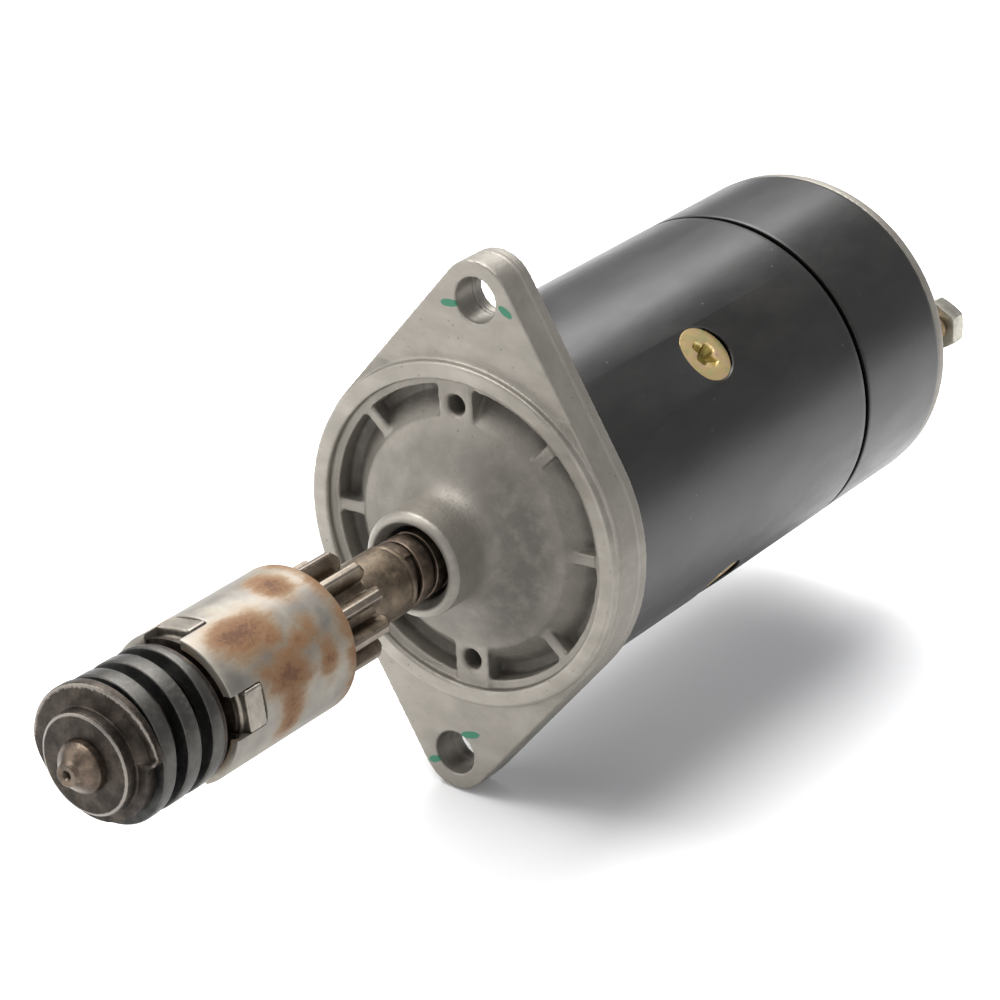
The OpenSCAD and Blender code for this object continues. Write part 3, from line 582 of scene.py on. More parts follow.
LAMINATIONS = plain("laminations", (0.10, 0.095, 0.09), (0.22, 0.21, 0.20), 0.8, 0.4, 0.6,
                    2.0, 0.05, (0.3, 3, 3))
BRONZE = plain("bronze", (0.30, 0.18, 0.075), (0.46, 0.29, 0.13), 0.9, 0.3, 0.45)
BRASS_STUD = plain("brass_stud", (0.20, 0.135, 0.075), (0.36, 0.27, 0.17), 0.85, 0.34, 0.5)
COPPER = plain("copper", (0.40, 0.17, 0.07), (0.62, 0.30, 0.16), 0.95, 0.28, 0.42)
INSULATION = plain("insulation", (0.040, 0.026, 0.018), (0.085, 0.052, 0.032), 0.0, 0.38, 0.55)
TAPE = plain("coil_tape", (0.25, 0.16, 0.085), (0.42, 0.29, 0.17), 0.0, 0.6, 0.8, 2.4, 0.15, (3, 0.6, 0.6))
CARBON = plain("carbon", (0.035, 0.028, 0.025), (0.075, 0.055, 0.045), 0.3, 0.45, 0.6)


# ---------------------------------------------------------------- shared shapes

def step(value, low, high):
    """Smooth step from 0 at low to 1 at high."""
    share = min(1.0, max(0.0, (value - low) / (high - low)))
    return share * share * (3 - 2 * share)


def off_axis(point):
    """Distance from the shaft axis."""
    return math.hypot(point.y, point.z)


def clock_of(point):
    """Clock angle in degrees."""
    return math.degrees(math.atan2(point.y, point.z))


def turn_between(a, b):
    """Signed difference of two clock angles in degrees, from -180 to 180."""
    return (a - b + 180) % 360 - 180


def piece(obj, body, slot, *nodes):
    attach(obj, body)
    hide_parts(*nodes)
    return obj


def dress(node, material):
    """A CAD node that keeps its shape takes a finish."""
    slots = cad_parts[node].data.materials
    slots.clear()
    slots.append(material)


def merge(name, objects):
    """One object from several, keeping the first one's material."""
    with bpy.context.temp_override(active_object=objects[0], selected_editable_objects=objects):
        bpy.ops.object.join()
    objects[0].name = name
    return objects[0]


def threaded(name, x0, x1, r, pitch, depth, material, plain_to=None, chamfer=0.8):
    """Rod about the X axis with a rolled thread from x0 to plain_to, and plain from there to x1."""
    around = 40
    plain_to = x1 if plain_to is None else plain_to
    rings = []
    fine = pitch / 6
    stations = [x0 + fine * i for i in range(int((plain_to - x0) / fine) + 1)]
    if plain_to < x1:
        stations += [plain_to + fine / 2, x1]
    for x in stations:
        ring = []
        for k in range(around):
            angle = TURN * k / around
            phase = (x / pitch + k / around) % 1
            groove = depth * (0.5 + 0.5 * math.cos(TURN * phase)) if x <= plain_to else 0.0
            fade = step(x - x0, 0, pitch) * (step(plain_to - x, 0, pitch) if plain_to < x1 else 1)
            lead_in = max(0.0, chamfer - (x - x0)) * 0.9
            ring.append(polar(x, r - groove * fade - lead_in, angle))
        rings.append(ring)
    points, faces = skin(rings)
    return to_object(name, mesh_from(name, points, faces), material, 40)


def hexagon(name, x0, x1, flats, bore, material, crown=1):
    """Hexagon about the X axis with its corners turned down on the x0 side, or on both when crown is 2."""
    corner = flats / math.sqrt(3)
    high = (corner - flats / 2) * 0.9
    prism = [[polar(x, corner * 1.001, TURN * (k + 0.5) / 6) for k in range(6)] for x in (x0, x1)]
    points, faces = skin(prism)
    body = to_object(name, mesh_from(name, points, faces), material)
    rear_r = flats / 2 * 0.98
    outline = [(x0, rear_r, 0), (x0 + high * 0.6, corner, 0.5)]
    outline += [(x1 - high * 0.6, corner, 0.5), (x1, rear_r, 0)] if crown == 2 else [(x1, corner, 0)]
    outline += [(x1, bore, 0), (x0, bore, 0)]
    turned = lathe(name + "_turned", outline, None, 96)
    combine(body, [turned], "INTERSECT")
    return bevel(body, 0.22, 2, 28)


def cross_cutter(name, length, width, depth):
    """Tapered cross-shaped recess, pointing down -X from the plane x = 0."""
    around = 20
    squareness = 5
    sections = ((-depth, 0.5, 0.6), (-depth * 0.45, 0.86, 0.9), (1, 1.08, 1.25))
    arms = []
    for turn in (0, 90):
        arm = []
        for x, long, wide in sections:
            half_l, half_w = length * long / 2, width * wide / 2
            ring = []
            for k in range(around):
                angle = TURN * k / around
                u, v = math.cos(angle), math.sin(angle)
                square = (abs(u) ** squareness + abs(v) ** squareness) ** (-1 / squareness)
                point = Vector((x * MM, half_l * u * square * MM, half_w * v * square * MM))
                ring.append(Matrix.Rotation(math.radians(turn), 3, "X") @ point)
            arm.append(ring)
        points, faces = skin(arm)
        arms.append(to_object(name, mesh_from(name, points, faces), None))
    return arms


# ---------------------------------------------------------------- housing

BOSS_FACE = ends("drive_end_bracket")[1]
EAR_R = 10
EAR_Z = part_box("drive_end_bracket")[1].z / MM - EAR_R
EAR_HOLE_R = 5.8
REGISTER_R, REGISTER_H, REGISTER_BORE = 45.2, 2.4, 40.8
TROUGH_R = 30
BOSS_R = 13.7
YOKE_WALL = 6.2
YOKE_BORE = YOKE_R - YOKE_WALL
BAND_T = 1.0
BAND_BORE = YOKE_R - BAND_T - 0.05
BAND_SEAT_R = YOKE_R - BAND_T - 0.1
SHOULDER = BAND_FRONT + 1.3
SCREW_X = -63
SCREW_HEAD_R = 7.8
SCREW_TOP_R = YOKE_R - 0.85
SCREW_SHANK_R = 4.0
CROSS_TWIST = 20
WINDOW_HALF = 9
CLAMP_X = (BAND_REAR + BAND_FRONT) / 2
CLAMP_HALF = 4
CLAMP_L = 12
CLAMP_AXIS_R = BAND_BORE + BAND_T + 3.7
CLAMP_TOP_R = CLAMP_AXIS_R + 3.5
CLAMP_SCREW_R, CLAMP_HEAD_R, CLAMP_FLATS = 1.95, 3.1, 5.5
BOLT_RADIUS = YOKE_BORE - 4.4
BOLT_R = 2.5
BOLT_HEAD_H = 3.4
BOLT_FLATS = 8
BOLT_THREAD_L = 14
STUD_RADIUS = 31
STUD_R = 3.95
NUT_T = 5.5
NUT_FLATS = 12.7
BUSH_R, BUSH_NECK_R, BUSH_RIM = 6.9, 5.4, 2.5

# Green inspection marks on the flange: which ear, clock angle round its hole, distance, half length, lean
MARKS = ((1, 250, 7.8, 2.4, 12), (1, 93, 8.8, 1.9, -28), (-1, 32, 8.0, 2.6, 20), (-1, 236, 7.4, 1.7, 25))


def bracket_finish(p):
    """Machined share of the bracket's surface at p."""
    r = off_axis(p)
    if p.x > BOSS_FACE - 1.6 and r < BOSS_R + 0.3:
        return 0.75 * step(r, BOSS_R - 2.5, BOSS_R - 1.9)
    if r > REGISTER_BORE - 0.4 and r < REGISTER_R + 0.3 and p.x > REGISTER_H - 0.7:
        return 1.0
    if abs(p.z) > REGISTER_R - 6 and abs(p.x) < 0.35:
        return 0.55
    if p.x > 0.2 and r > REGISTER_R - 0.8:
        return 0.9
    return 0.9 if math.hypot(p.y, abs(p.z) - EAR_Z) < EAR_HOLE_R + 0.35 else 0.0


def bracket_grease_and_shade(p):
    """Share of darkening, partly old grease and partly painted shade: the flange's back, the trough, the
    boss's bore, the cone, and painted shade on its +Y side.
    """
    r = off_axis(p)
    # Painted shade: the flange's back against the yoke, the trough and the bore are darkened in colour; the
    # cone takes a lighter share, partly grease.
    if p.x < -FLANGE_T + 0.3:
        return 0.7
    trough = step(-p.x, 1.2, 4.6) * step(r, TROUGH_R - 3, TROUGH_R + 2)
    trough *= 1 - step(r, REGISTER_BORE - 1, REGISTER_BORE + 0.6)
    throat = 1 - 0.45 * step(r, 9.2, 10.4) if p.x > 6 and r < BOSS_R - 2.3 else 0.0
    cone = 0.34 * step(r, BOSS_R, BOSS_R + 3) * (1 - step(r, TROUGH_R - 6, TROUGH_R)) if p.x > -1 else 0.0
    # Painted shade on the +Y side, away from the key light.
    shaded_side = 0.46 * step(p.y, 2, 20) * (1 - step(r, TROUGH_R, TROUGH_R + 8)) if p.x > -4 else 0.0
    return min(1.0, max(trough * 0.8, throat, 0.10 + cone + shaded_side))


def bracket_marks(p):
    """Strength of the green marks at p."""
    if abs(p.x) > 0.6:
        return 0.0
    best = 0.0
    for ear, angle, distance, half, lean in MARKS:
        turn = math.radians(angle)
        dy = p.y - distance * math.sin(turn)
        dz = p.z - ear * EAR_Z - distance * math.cos(turn)
        tilt = math.radians(lean)
        along = dy * math.cos(tilt) + dz * math.sin(tilt)
        across = -dy * math.sin(tilt) + dz * math.cos(tilt)
        best = max(best, 1.35 - math.hypot(along / half, across / 0.85) * 0.75)
    return max(0.0, best)


def drive_end_bracket():
    obj = soft_copy("bracket_casting", "drive_end_bracket", ALUMINIUM, 0.42, 7)
    attribute(obj, "machined", bracket_finish)
    attribute(obj, "grease_and_shade", bracket_grease_and_shade)
    attribute(obj, "paint", bracket_marks)
    return piece(obj, "housing", "cast_aluminium", "drive_end_bracket")


def yoke():
    """Steel tube with seats for the pole screws and windows under the band."""
    outline = [
        (YOKE_REAR, YOKE_BORE, 0), (YOKE_REAR, BAND_SEAT_R, 0.3), (SHOULDER, BAND_SEAT_R, 0.1),
        (SHOULDER, YOKE_R, 0.45), (SHOULDER + 2, YOKE_R, 0), (FLANGE_BACK - 2, YOKE_R, 0),
        (FLANGE_BACK, YOKE_R, 0.45), (FLANGE_BACK, YOKE_BORE, 0),
    ]
    obj = lathe("yoke_tube", outline, PAINT, 256)
    hole_r = SCREW_SHANK_R + 0.2
    top = SCREW_TOP_R - YOKE_BORE
    cutters = []
    for turn in range(4):
        angle = POLE_ANGLE + 90 * turn
        seat = lathe("seat", [
            (-2, 0.01, 0), (-2, hole_r, 0), (top - 3.6, hole_r, 0),
            (top, SCREW_HEAD_R + 0.25, 0), (top + 0.35, SCREW_HEAD_R + 0.45, 0),
            (top + 2, SCREW_HEAD_R + 0.9, 0), (top + 2, 0.01, 0),
        ], None, 64)
        cutters.append(radial(seat, SCREW_X, YOKE_BORE, angle))
        window = box_mesh("window", (BAND_REAR + 5, -WINDOW_HALF, YOKE_BORE - 2),
                          (BAND_FRONT - 5, WINDOW_HALF, YOKE_R), bevel=1.5)
        window.data.transform(clock_matrix(angle))
        cutters.append(window)
    combine(obj, cutters)
    bevel(obj, 0.2, 2)
    attribute(obj, "edge", lambda p: (1 - step(FLANGE_BACK - p.x, 0, 0.9)) * 0.8)
    # Painted shade: below the outer skin, the band seat and the shoulder in the seam are marked for near
    # black.
    attribute(obj, "gap", lambda p: 1.0 - step(off_axis(p), YOKE_R - 0.62, YOKE_R - 0.2))
    return piece(obj, "housing", "black_paint", "yoke")


def pole_screws():
    """Four countersunk screws with cross recesses."""
    screws = []
    for turn in range(4):
        name = "pole_screw_%d" % (turn + 1)
        head = lathe(name, [
            (-15, 0.01, 0), (-15, SCREW_SHANK_R - 0.4, 0.3), (-14.4, SCREW_SHANK_R, 0),
            (-3.6, SCREW_SHANK_R, 0.3), (-0.45, SCREW_HEAD_R, 0.25), (-0.1, SCREW_HEAD_R, 0.3),
            (0.0, SCREW_HEAD_R * 0.62, 3), (0.0, 0.01, 0),
        ], YELLOW_ZINC, 96)
        combine(head, cross_cutter("cross", length=8.2, width=3.3, depth=2.6))
        bevel(head, 0.18, 2, 30)
        # Marks the cross recess for the painted shade of the finish.
        attribute(head, "recess", lambda p: step(-p.x, 0.15, 0.7) * (1 - step(off_axis(p), 5.2, 6)))
        screws.append(radial(head, SCREW_X, SCREW_TOP_R, POLE_ANGLE + 90 * turn, CROSS_TWIST))
    return piece(merge("pole_screw_set", screws), "housing", "yellow_zinc", "pole_screws")


def cover_band():
    """Sheet-steel band, bent outwards into two lugs where it is clamped."""
    r = BAND_BORE + BAND_T / 2
    first = math.degrees(math.asin((CLAMP_HALF + 2.2) / r))
    path = [(CLAMP_HALF, CLAMP_TOP_R, 0), (CLAMP_HALF, r, 2.0)]
    around = 180
    for i in range(around + 1):
        angle = math.radians(first + (360 - 2 * first) * i / around)
        path.append((r * math.sin(angle), r * math.cos(angle), 0))
    path += [(-CLAMP_HALF, r, 2.0), (-CLAMP_HALF, CLAMP_TOP_R, 0)]
    line = rounded(path)
    front = BAND_FRONT - 0.7
    edges = [BAND_REAR + 0.05, BAND_REAR + 1.2, CLAMP_X - CLAMP_L / 2, CLAMP_X + CLAMP_L / 2, front - 1.2,
             front]
    lug_strip = 2
    points = [Vector((x, t, z)) * MM for x in edges for t, z in line]
    size = len(line)
    faces = []
    for i in range(len(edges) - 1):
        for k in range(size - 1):
            lug = min(line[k][1], line[k + 1][1]) > r + 0.3 and abs(line[k][0]) < CLAMP_HALF + 0.3
            if lug and i != lug_strip:
                continue
            faces.append((i * size + k, i * size + k + 1, (i + 1) * size + k + 1, (i + 1) * size + k))
    obj = to_object("cover_band_sheet", mesh_from("cover_band_sheet", points, faces), PAINT, 40)
    obj.data.transform(clock_matrix(CLAMP_ANGLE))
    solid = obj.modifiers.new("sheet", "SOLIDIFY")
    solid.thickness = (BAND_T - 0.06) * MM
    solid.offset = 0
    bpy.context.view_layer.update()
    apply_modifiers(obj)
    bevel(obj, 0.22, 2, 50)
    attribute(obj, "edge", lambda p: max(
        1 - step(p.x - BAND_REAR, 0, 1.0), (1 - step(front - p.x, 0, 0.7)) * 0.45,
        step(off_axis(p), CLAMP_TOP_R - 1.5, CLAMP_TOP_R) * 0.8))
    attribute(obj, "gap", lambda p: 0.0)
    return piece(obj, "housing", "black_paint", "cover_band")


def clamp_hardware():
    """Cheese-head screw and nut that pull the band's lugs together."""
    side = CLAMP_HALF + 0.7
    head = lathe("band_screw", [
        (-side - 3.3, 0.01, 0), (-side - 3.3, 1.5, 0), (-side - 2.9, CLAMP_SCREW_R, 0),
        (side, CLAMP_SCREW_R, 0.2), (side, CLAMP_HEAD_R, 0.3), (side + 1.9, CLAMP_HEAD_R, 0.7),
        (side + 2.35, 2.0, 2), (side + 2.4, 0.01, 0),
    ], ZINC, 48)
    combine(head, [box_mesh("slot", (side + 1.4, -4, -0.45), (side + 3, 4, 0.45))])
    nut = hexagon("band_nut", -side - 2.8, -side, CLAMP_FLATS, CLAMP_SCREW_R - 0.05, ZINC)
    across = Matrix.Rotation(math.pi / 2, 4, "Z")
    stand = Matrix.Translation((CLAMP_X * MM, 0, CLAMP_AXIS_R * MM))
    for obj in (head, nut):
        obj.data.transform(clock_matrix(CLAMP_ANGLE) @ stand @ across)
    piece(head, "housing", "bright_zinc", "band_clamp_screw")
    piece(nut, "housing", "bright_zinc", "band_clamp_nut")


def commutator_end():
    """Rear bracket casting and its pressed cap."""
    obj = soft_copy("rear_bracket_casting", "commutator_end_bracket", ALUMINIUM, 0.5, 5)
    rear = ends("commutator_end_bracket")[0]
    face = YOKE_REAR - 4
    boss_r = 14
    attribute(obj, "machined", lambda p: 1.0 if p.x < rear + 0.8 or p.x > YOKE_REAR - 0.2 else
              0.65 * step(off_axis(p), YOKE_R - 1.6, YOKE_R - 0.8))
    # Painted shade: a dark ring round the foot of the boss on the rear face, over a slight darkening all
    # over.
    attribute(obj, "grease_and_shade", lambda p: 0.18 + 0.5 * (
        1 - step(abs(off_axis(p) - boss_r), 0.4, 2.5)) * step(face + 1.5 - p.x, 0, 1))
    attribute(obj, "paint", lambda p: 0.0)
    piece(obj, "housing", "cast_aluminium", "commutator_end_bracket")

    low, high = ends("dust_cap")
    cap_r = radius("dust_cap")
    cap = lathe("pressed_cap", [
        (high, 0.01, 0), (high, cap_r - 0.06, 0.3), (low, cap_r - 0.06, 0.5), (low, cap_r * 0.66, 0.5),
        (low + 0.55, cap_r * 0.56, 0.5), (low + 0.55, 0.01, 0),
    ], ZINC, 96)
    piece(cap, "housing", "bright_zinc", "dust_cap")


def through_bolts():
    """Two long bolts from the rear, whose threaded points show in the drive end bracket."""
    seat = ends("through_bolts")[0] + BOLT_HEAD_H
    tip = ends("through_bolts")[1]
    parts = []
    for turn in (0, 180):
        head = hexagon("bolt_head", seat - BOLT_HEAD_H, seat, BOLT_FLATS, 0.01, ZINC)
        shank = threaded("bolt_shank", seat - 0.2, tip, BOLT_R - 0.03, 1.0, 0.01, ZINC)
        point = threaded("bolt_point", -tip, -tip + BOLT_THREAD_L, BOLT_R, 0.8, 0.45, ZINC)
        point.data.transform(Matrix.Rotation(math.pi, 4, "Z"))
        for obj in (head, shank, point):
            place(obj, 0, BOLT_RADIUS, BOLT_ANGLE + turn)
            parts.append(obj)
    piece(merge("through_bolt_pair", parts), "housing", "bright_zinc", "through_bolts")
    dress("through_bolt_washers", DARK_STEEL)


def terminal():
    """Threaded post with an inner and an outer nut, washer and moulded bush."""
    tip, inner = ends("terminal_stud")
    post = threaded("terminal_post", tip, inner, STUD_R, 1.25, 0.62, BRASS_STUD, YOKE_REAR - 2, 1.0)
    low, high = ends("terminal_nuts")
    nuts = merge("terminal_hexes", [
        hexagon("outer_nut", low, low + NUT_T, NUT_FLATS, 3.6, ZINC, 2),
        hexagon("inner_nut", high - NUT_T, high, NUT_FLATS, 3.6, ZINC, 2)])
    washer_low, washer_high = ends("terminal_washer")
    washer = lathe("terminal_plate_washer", [
        (washer_low, 3.9, 0.1), (washer_low, 6.5, 0.35), (washer_high, 6.5, 0.2), (washer_high, 3.9, 0),
    ], ZINC, 96)
    bush_low, bush_high = ends("terminal_insulator")
    bush = lathe("terminal_bush", [
        (bush_low, 3.7, 0), (bush_low, BUSH_R, 0.5), (bush_low + BUSH_RIM, BUSH_R, 0.15),
        (bush_low + BUSH_RIM, BUSH_NECK_R, 0), (bush_high - BUSH_RIM, BUSH_NECK_R, 0),
        (bush_high - BUSH_RIM, BUSH_R, 0.2), (bush_high, BUSH_R, 0.3), (bush_high, 3.7, 0),
    ], INSULATION, 96)
    for obj, slot, node in (
            (post, "bronze", "terminal_stud"), (nuts, "bright_zinc", "terminal_nuts"),
            (washer, "bright_zinc", "terminal_washer"), (bush, "insulation", "terminal_insulator")):
        place(obj, 0, STUD_RADIUS, TERMINAL_ANGLE)
        piece(obj, "housing", slot, node)


# ---------------------------------------------------------------- pinion drive

SLOT_W = 10.5
SLOT_REAR = BARREL_END - 10
BARREL_BORE = BARREL_R - 2.4
BARREL_FLOOR = 4
BARREL_EYE_R = 9.95
BARREL_NOSE_R = 5
SLEEVE_BORE = 7.1
SPRING_R = 17.3
SPRING_WIRE_W, SPRING_WIRE_T = 4.2, 4.6
SPRING_TURNS = 2.8
COLLAR_BOSS_R = 12.4

# Clock angle at which the locating collar's flange ends in its rounded tip
TIP_ANGLE = 74

# Rust patches on the barrel: station, clock angle, half length, half width along the surface, strength
RUST = (
    (97, 25, 11, 6.5, 1.2), (91, 38, 6, 4.5, 0.9), (84, 50, 5, 4.5, 0.85), (90, 66, 8, 6.5, 1.15),
    (97, 60, 5, 4, 0.8), (91, 90, 5.5, 7, 1.1), (91, 106, 5, 5.5, 0.9), (77, 2, 5.5, 7, 1.15),
    (79, 44, 4, 4, 0.85), (77, 74, 4, 6, 0.9), (100, 150, 9, 6, 0.9), (86, 178, 12, 6, 1.0),
    (80, 205, 6, 9, 0.9), (101, 226, 8, 5, 1.0), (92, 262, 9, 8, 0.85), (82, 300, 7, 5, 1.0),
    (102, 318, 6, 4, 0.75),
)


def barrel_rust(p):
    """Rust on the barrel at p: its rear end, the patches, and its inside."""
    r = off_axis(p)
    here = clock_of(p)
    value = 0.68 * (1 - step(p.x, BARREL_REAR + 2.0, BARREL_REAR + 8.5))
    for x, angle, long, wide, strength in RUST:
        arc = math.radians(turn_between(here, angle)) * BARREL_R
        value = max(value, strength * (1.15 - 0.75 * math.hypot((p.x - x) / long, arc / wide)))
    if r < BARREL_R - 1.2:
        value = max(value, 0.45)
    return max(0.0, value)


def barrel():
    """Drawn cup, open at the front with four slots for the nut's lugs."""
    floor = BARREL_REAR + BARREL_FLOOR
    outline = [(BARREL_REAR, BARREL_EYE_R, 0), (BARREL_REAR, 12.5, 0), (BARREL_REAR, BARREL_R, BARREL_NOSE_R)]
    outline += [(x, BARREL_R, 0) for x in range(int(BARREL_REAR) + 6, int(BARREL_END) - 1)]
    outline += [
        (BARREL_END, BARREL_R, 0.5), (BARREL_END, BARREL_BORE, 0.3), (SLOT_REAR, BARREL_BORE, 0),
        (floor, BARREL_BORE, 0.4), (floor, BARREL_EYE_R, 0),
    ]
    obj = lathe("drive_barrel", outline, BARREL_ZINC, 224)
    cutters = []
    for turn in range(4):
        slot = box_mesh("slot", (SLOT_REAR, -SLOT_W / 2, BARREL_BORE - 3),
                        (BARREL_END + 3, SLOT_W / 2, BARREL_R + 2), bevel=0.8)
        slot.data.transform(clock_matrix(SLOT_ANGLE + 90 * turn))
        cutters.append(slot)
    combine(obj, cutters)
    bevel(obj, 0.28, 2, 40)
    attribute(obj, "rust", barrel_rust)
    return piece(obj, "pinion_assembly", "barrel_steel", "barrel")


def control_nut():
    obj = soft_copy("control_nut_forging", "control_nut", LUG_STEEL, 0.35, 2)
    attribute(obj, "edge", lambda p: step(off_axis(p), BARREL_R - 0.9, BARREL_R - 0.3))
    return piece(obj, "nut_carrier", "worn_steel", "control_nut")


def pinion():
    obj = soft_copy("pinion_gear", "pinion", WORN_STEEL, 0.26, 3, 60)
    attribute(obj, "edge", lambda p: step(off_axis(p), PINION_R - 1.3, PINION_R - 0.1))
    return piece(obj, "pinion_assembly", "worn_steel", "pinion")


def neck():
    """Tube behind the pinion, with a shallow groove near its rear end."""
    obj = lathe("restraining_sleeve_tube", [
        (NECK_REAR, SLEEVE_BORE, 0.2), (NECK_REAR, NECK_R, 0.7), (NECK_REAR + 0.8, NECK_R, 0.2),
        (NECK_REAR + 1.6, NECK_R - 0.12, 0.2), (NECK_REAR + 2.4, NECK_R, 0.2), (PINION_REAR - 1, NECK_R, 0.2),
        (PINION_REAR, NECK_R - 0.25, 0.2), (PINION_REAR, SLEEVE_BORE, 0),
    ], WORN_STEEL, 128)
    attribute(obj, "edge", lambda p: 1 - step(p.x - NECK_REAR, 0, 1.0))
    return piece(obj, "pinion_assembly", "worn_steel", "restraining_sleeve")


def coil(name, x0, x1, outer_r, wide, thick, turns, end_angle, material, corner, taper, per_turn=72):
    """Rectangular-wire spring whose ends are ground flat and taper to a thin tip. end_angle is the clock
    angle of its front tip in degrees, and taper the share of the wire's thickness that is gone at a tip."""
    dead = 0.4
    steps = int(turns * per_turn)
    pitch = (x1 - x0 - thick) / (turns - 2 * dead)
    rings = []
    for i in range(steps + 1):
        turn = turns * i / steps
        rise = max(0.0, min(turn, turns - dead) - dead)
        x = x0 + thick / 2 + pitch * rise
        front = x1 - x - thick / 2
        thin_front = 1 - taper * (1 - step(turns - turn, 0, 0.55))
        thin_rear = 1 - taper * (1 - step(turn, 0, 0.55))
        half_t = thick / 2 * min(thin_front, thin_rear)
        x += (thick / 2 - half_t) * (1 if thin_front < thin_rear else -1)
        half_w = wide / 2
        tip = min(step(turns - turn, 0, 0.012), step(turn, 0, 0.012))
        half_w *= 0.55 + 0.45 * tip
        mid_r = outer_r - wide / 2
        angle = math.radians(end_angle) + TURN * (turn - turns)
        fillet = min(corner, min(half_t, half_w) * 0.7)
        corners = ((-half_t, -half_w), (half_t, -half_w), (half_t, half_w), (-half_t, half_w))
        section = rounded([(a, b, fillet) for a, b in corners], closed=True)
        rings.append([polar(x + a, mid_r + b, angle) for a, b in section])
    points, faces = skin(rings)
    return to_object(name, mesh_from(name, points, faces), material, 45)


def main_spring():
    """Heavy cushion spring, built at rest; on the motor it closes up as the sleeve slides."""
    obj = coil("drive_spring", SPRING_REAR, SPRING_FRONT, SPRING_R, SPRING_WIRE_W, SPRING_WIRE_T,
               SPRING_TURNS, TIP_ANGLE + 160, SPRING_STEEL, 0.55, 0.62)
    attribute(obj, "edge", lambda p: step(off_axis(p), SPRING_R - 0.8, SPRING_R - 0.05))
    piece(obj, "armature", "spring_steel", "main_spring")
    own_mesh(obj)
    return obj


def restraining_spring():
    """Light spring in the boss, built at rest; on the motor it closes up as the pinion comes back."""
    rear, front = ends("restraining_spring")
    obj = coil("restraint_spring", rear, front, 8.5, 1.0, 4.5, 5, 30, SHAFT_STEEL, 0.35, 0.3, per_turn=48)
    attribute(obj, "edge", lambda p: 0.5)
    piece(obj, "housing", "spring_steel", "restraining_spring")
    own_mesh(obj)
    return obj


def collar():
    """Locating collar: a round boss, and a flange that thins towards its tip and is relieved beyond it."""
    face = COLLAR_FRONT - 3.2
    boss = COLLAR_BOSS_R
    rim = COLLAR_R - 0.05
    relief_r = 15.0
    tip_thinning = 1.7

    def relief(x, r, angle):
        past = (math.degrees(angle) - TIP_ANGLE) % 360
        cut = step(past, 0, 7) * (1 - step(past, 150, 200))
        if r > boss + 1:
            edge = relief_r - r if r > relief_r else 0.0
            r += edge * cut
            if x > SPRING_FRONT + 0.6:
                before = (TIP_ANGLE - math.degrees(angle)) % 360
                x -= tip_thinning * (1 - step(before, 0, 150)) * step(r, boss + 1.2, boss + 2.6)
        return x, r

    def worn(p):
        r = off_axis(p)
        flange = (1 - step(abs(r - COLLAR_R + 0.5), 0.1, 0.8)) * step(p.x, face - 2.6, face - 1.5) * 0.9
        nose = 1 - step(abs(r - boss + 0.55), 0.15, 0.65)
        return max(flange, nose * step(p.x, COLLAR_FRONT - 1.4, COLLAR_FRONT - 0.5))

    outline = [
        (COLLAR_REAR, 7.2, 0), (COLLAR_REAR, rim, 0.35), (face, rim, 0.7), (face, relief_r, 0),
        (face, boss, 0.5), (COLLAR_FRONT, boss, 0.9), (COLLAR_FRONT - 0.1, 9.5, 0.6),
        (COLLAR_FRONT - 0.1, 6.3, 0),
    ]
    obj = lathe("spring_collar", outline, DARK_STEEL, 256, relief)
    attribute(obj, "edge", worn)
    return piece(obj, "armature", "dark_steel", "locating_collar")


def shaft():
    """Armature shaft with its steps, peened nub and centre drilling."""
    low, high = SHAFT_REAR, SHAFT_TIP
    rear_r, core_r, drive_r, end_r = 6.0, 9.0, 7.0, 6.2
    core_rear, core_front, drive_front = -151.2, -10.3, 63.9
    outline = [
        (low, 0.01, 0), (low, rear_r - 0.4, 0), (low + 0.5, rear_r, 0.1), (core_rear, rear_r, 0.2),
        (core_rear, core_r, 0.3), (core_front, core_r, 0.3), (core_front, drive_r, 0.2),
        (drive_front, drive_r, 0), (drive_front + 0.1, end_r, 0), (COLLAR_FRONT + 1.6, end_r, 0.8),
        (COLLAR_FRONT + 2.6, 5.4, 0.6), (high - 1.2, 3.3, 0.5), (high - 0.1, 2.6, 0.3),
        (high - 0.3, 1.25, 0.1), (high - 2.6, 0.01, 0),
    ]
    obj = lathe("armature_spindle", outline, SHAFT_STEEL, 96)
    attribute(obj, "edge", lambda p: step(p.x, COLLAR_FRONT + 2.2, COLLAR_FRONT + 3.4) * 0.55)
    return piece(obj, "armature", "dark_steel", "armature_shaft")


def spring_washer():
    """Plate at the rear end of the main spring."""
    low, high = ends("spring_washer")
    outer = radius("spring_washer")
    obj = lathe("spring_plate_washer", [
        (low, 7.4, 0.1), (low, outer, 0.35), (high, outer, 0.35), (high, 7.4, 0.1)], DARK_STEEL, 128)
    attribute(obj, "edge", lambda p: step(off_axis(p), outer - 1.0, outer - 0.2) * 0.5)
    return piece(obj, "sleeve", "dark_steel", "spring_washer")


# Nodes that keep their CAD shape, and their finishes
INNER = {
    "drive_end_bush": BRONZE, "commutator_end_bush": BRONZE, "pole_shoes": LAMINATIONS, "field_coils": TAPE,
    "field_link": COPPER, "brush_plate": INSULATION, "brush_boxes_earthed": BRONZE,
    "brush_boxes_insulated": BRONZE, "brush_box_insulators": INSULATION, "brush_springs": SPRING_STEEL,
    "armature_core": LAMINATIONS,
    "armature_windings": COPPER, "commutator_bars": COPPER, "commutator_hub": INSULATION,
    "shaft_thrust_washers": INSULATION, "screwed_sleeve": DARK_STEEL, "nut_thrust_washer": DARK_STEEL,
    "retaining_ring": DARK_STEEL, "brush_1": CARBON, "brush_2": CARBON, "brush_3": CARBON, "brush_4": CARBON,
    "brush_leads": COPPER,
}

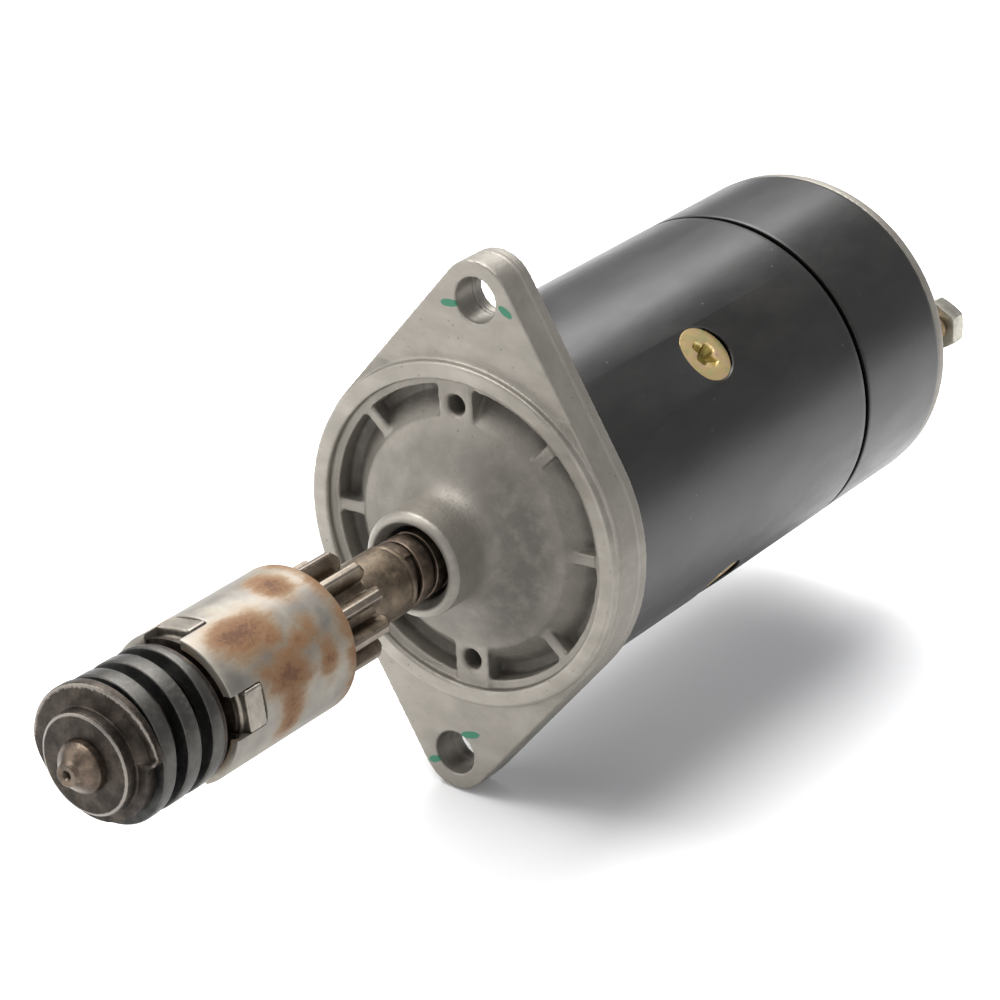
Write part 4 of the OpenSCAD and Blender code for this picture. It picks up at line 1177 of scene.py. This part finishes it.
drive_end_bracket()
yoke()
pole_screws()
cover_band()
clamp_hardware()
commutator_end()
through_bolts()
terminal()
barrel()
control_nut()
pinion()
neck()
main_spring()
restraining_spring()
collar()
shaft()
spring_washer()
for node, material in INNER.items():
    dress(node, material)


# ---------------------------------------------------------------- stage, camera and light

def studio_floor():
    """Wide, flat, pale floor just under the lowest point."""
    gap = 0.0005
    half_width = 6
    floor_z = cad_box[0][2] - gap
    build = bmesh.new()
    bmesh.ops.create_grid(build, x_segments=2, y_segments=2, size=half_width)
    bmesh.ops.translate(build, vec=(0, 0, floor_z), verts=build.verts)
    mesh = bpy.data.meshes.new("studio_floor")
    build.to_mesh(mesh)
    build.free()
    pale = bpy.data.materials.new("pale_floor")
    pale.use_nodes = True
    shader = pale.node_tree.nodes["Principled BSDF"]
    shader.inputs["Base Color"].default_value = (0.93, 0.93, 0.93, 1)
    shader.inputs["Roughness"].default_value = 0.9
    shader.inputs["Specular IOR Level"].default_value = 0.1
    obj = linked("studio_floor", mesh)
    obj.data.materials.append(pale)


def aim(obj, target):
    obj.rotation_euler = (target - obj.location).to_track_quat("-Z", "Y").to_euler()


def soft_light(name, place, size, power, target):
    """Square area light of a size in metres and a power in watts."""
    data = bpy.data.lights.new(name, "AREA")
    data.shape = "SQUARE"
    data.size = size
    data.energy = power
    obj = linked(name, data)
    obj.location = place
    aim(obj, Vector(target))


def camera():
    """Three-quarter view on the pinion end from above, with the horizon leaning a little."""
    target = Vector((-0.0147, 0, 0.0035))
    toward = Vector((0.7368, 0.4991, 0.4560)).normalized()
    distance = 0.9176
    roll = 2.8
    data = bpy.data.cameras.new("view")
    data.lens = 133.9
    data.sensor_width = 36
    data.clip_start = 0.05
    obj = linked("view", data)
    obj.location = target + toward * distance
    turn = (-toward).to_track_quat("-Z", "Y") @ Matrix.Rotation(math.radians(roll), 3, "Z").to_quaternion()
    obj.rotation_euler = turn.to_euler()
    bpy.context.scene.camera = obj


studio_floor()
soft_light("key", (0.1, -0.5, 1.6), 1.5, 42, (0, 0, 0))
soft_light("top", (-0.9, -0.7, 1.4), 1.3, 30, (0, 0, 0))
soft_light("left_fill", (0.9, -1.2, 0.6), 1.1, 10, (0.05, 0, 0))
soft_light("front_fill", (1.4, 0.9, 0.5), 0.9, 5, (0.05, 0, 0))
camera()

world = bpy.data.worlds.new("studio")
world.use_nodes = True
sky = world.node_tree.nodes["Background"].inputs
sky["Color"].default_value = (0.95, 0.96, 1, 1)
sky["Strength"].default_value = 0.42
bpy.context.scene.world = world
bpy.context.scene.view_settings.view_transform = "Standard"
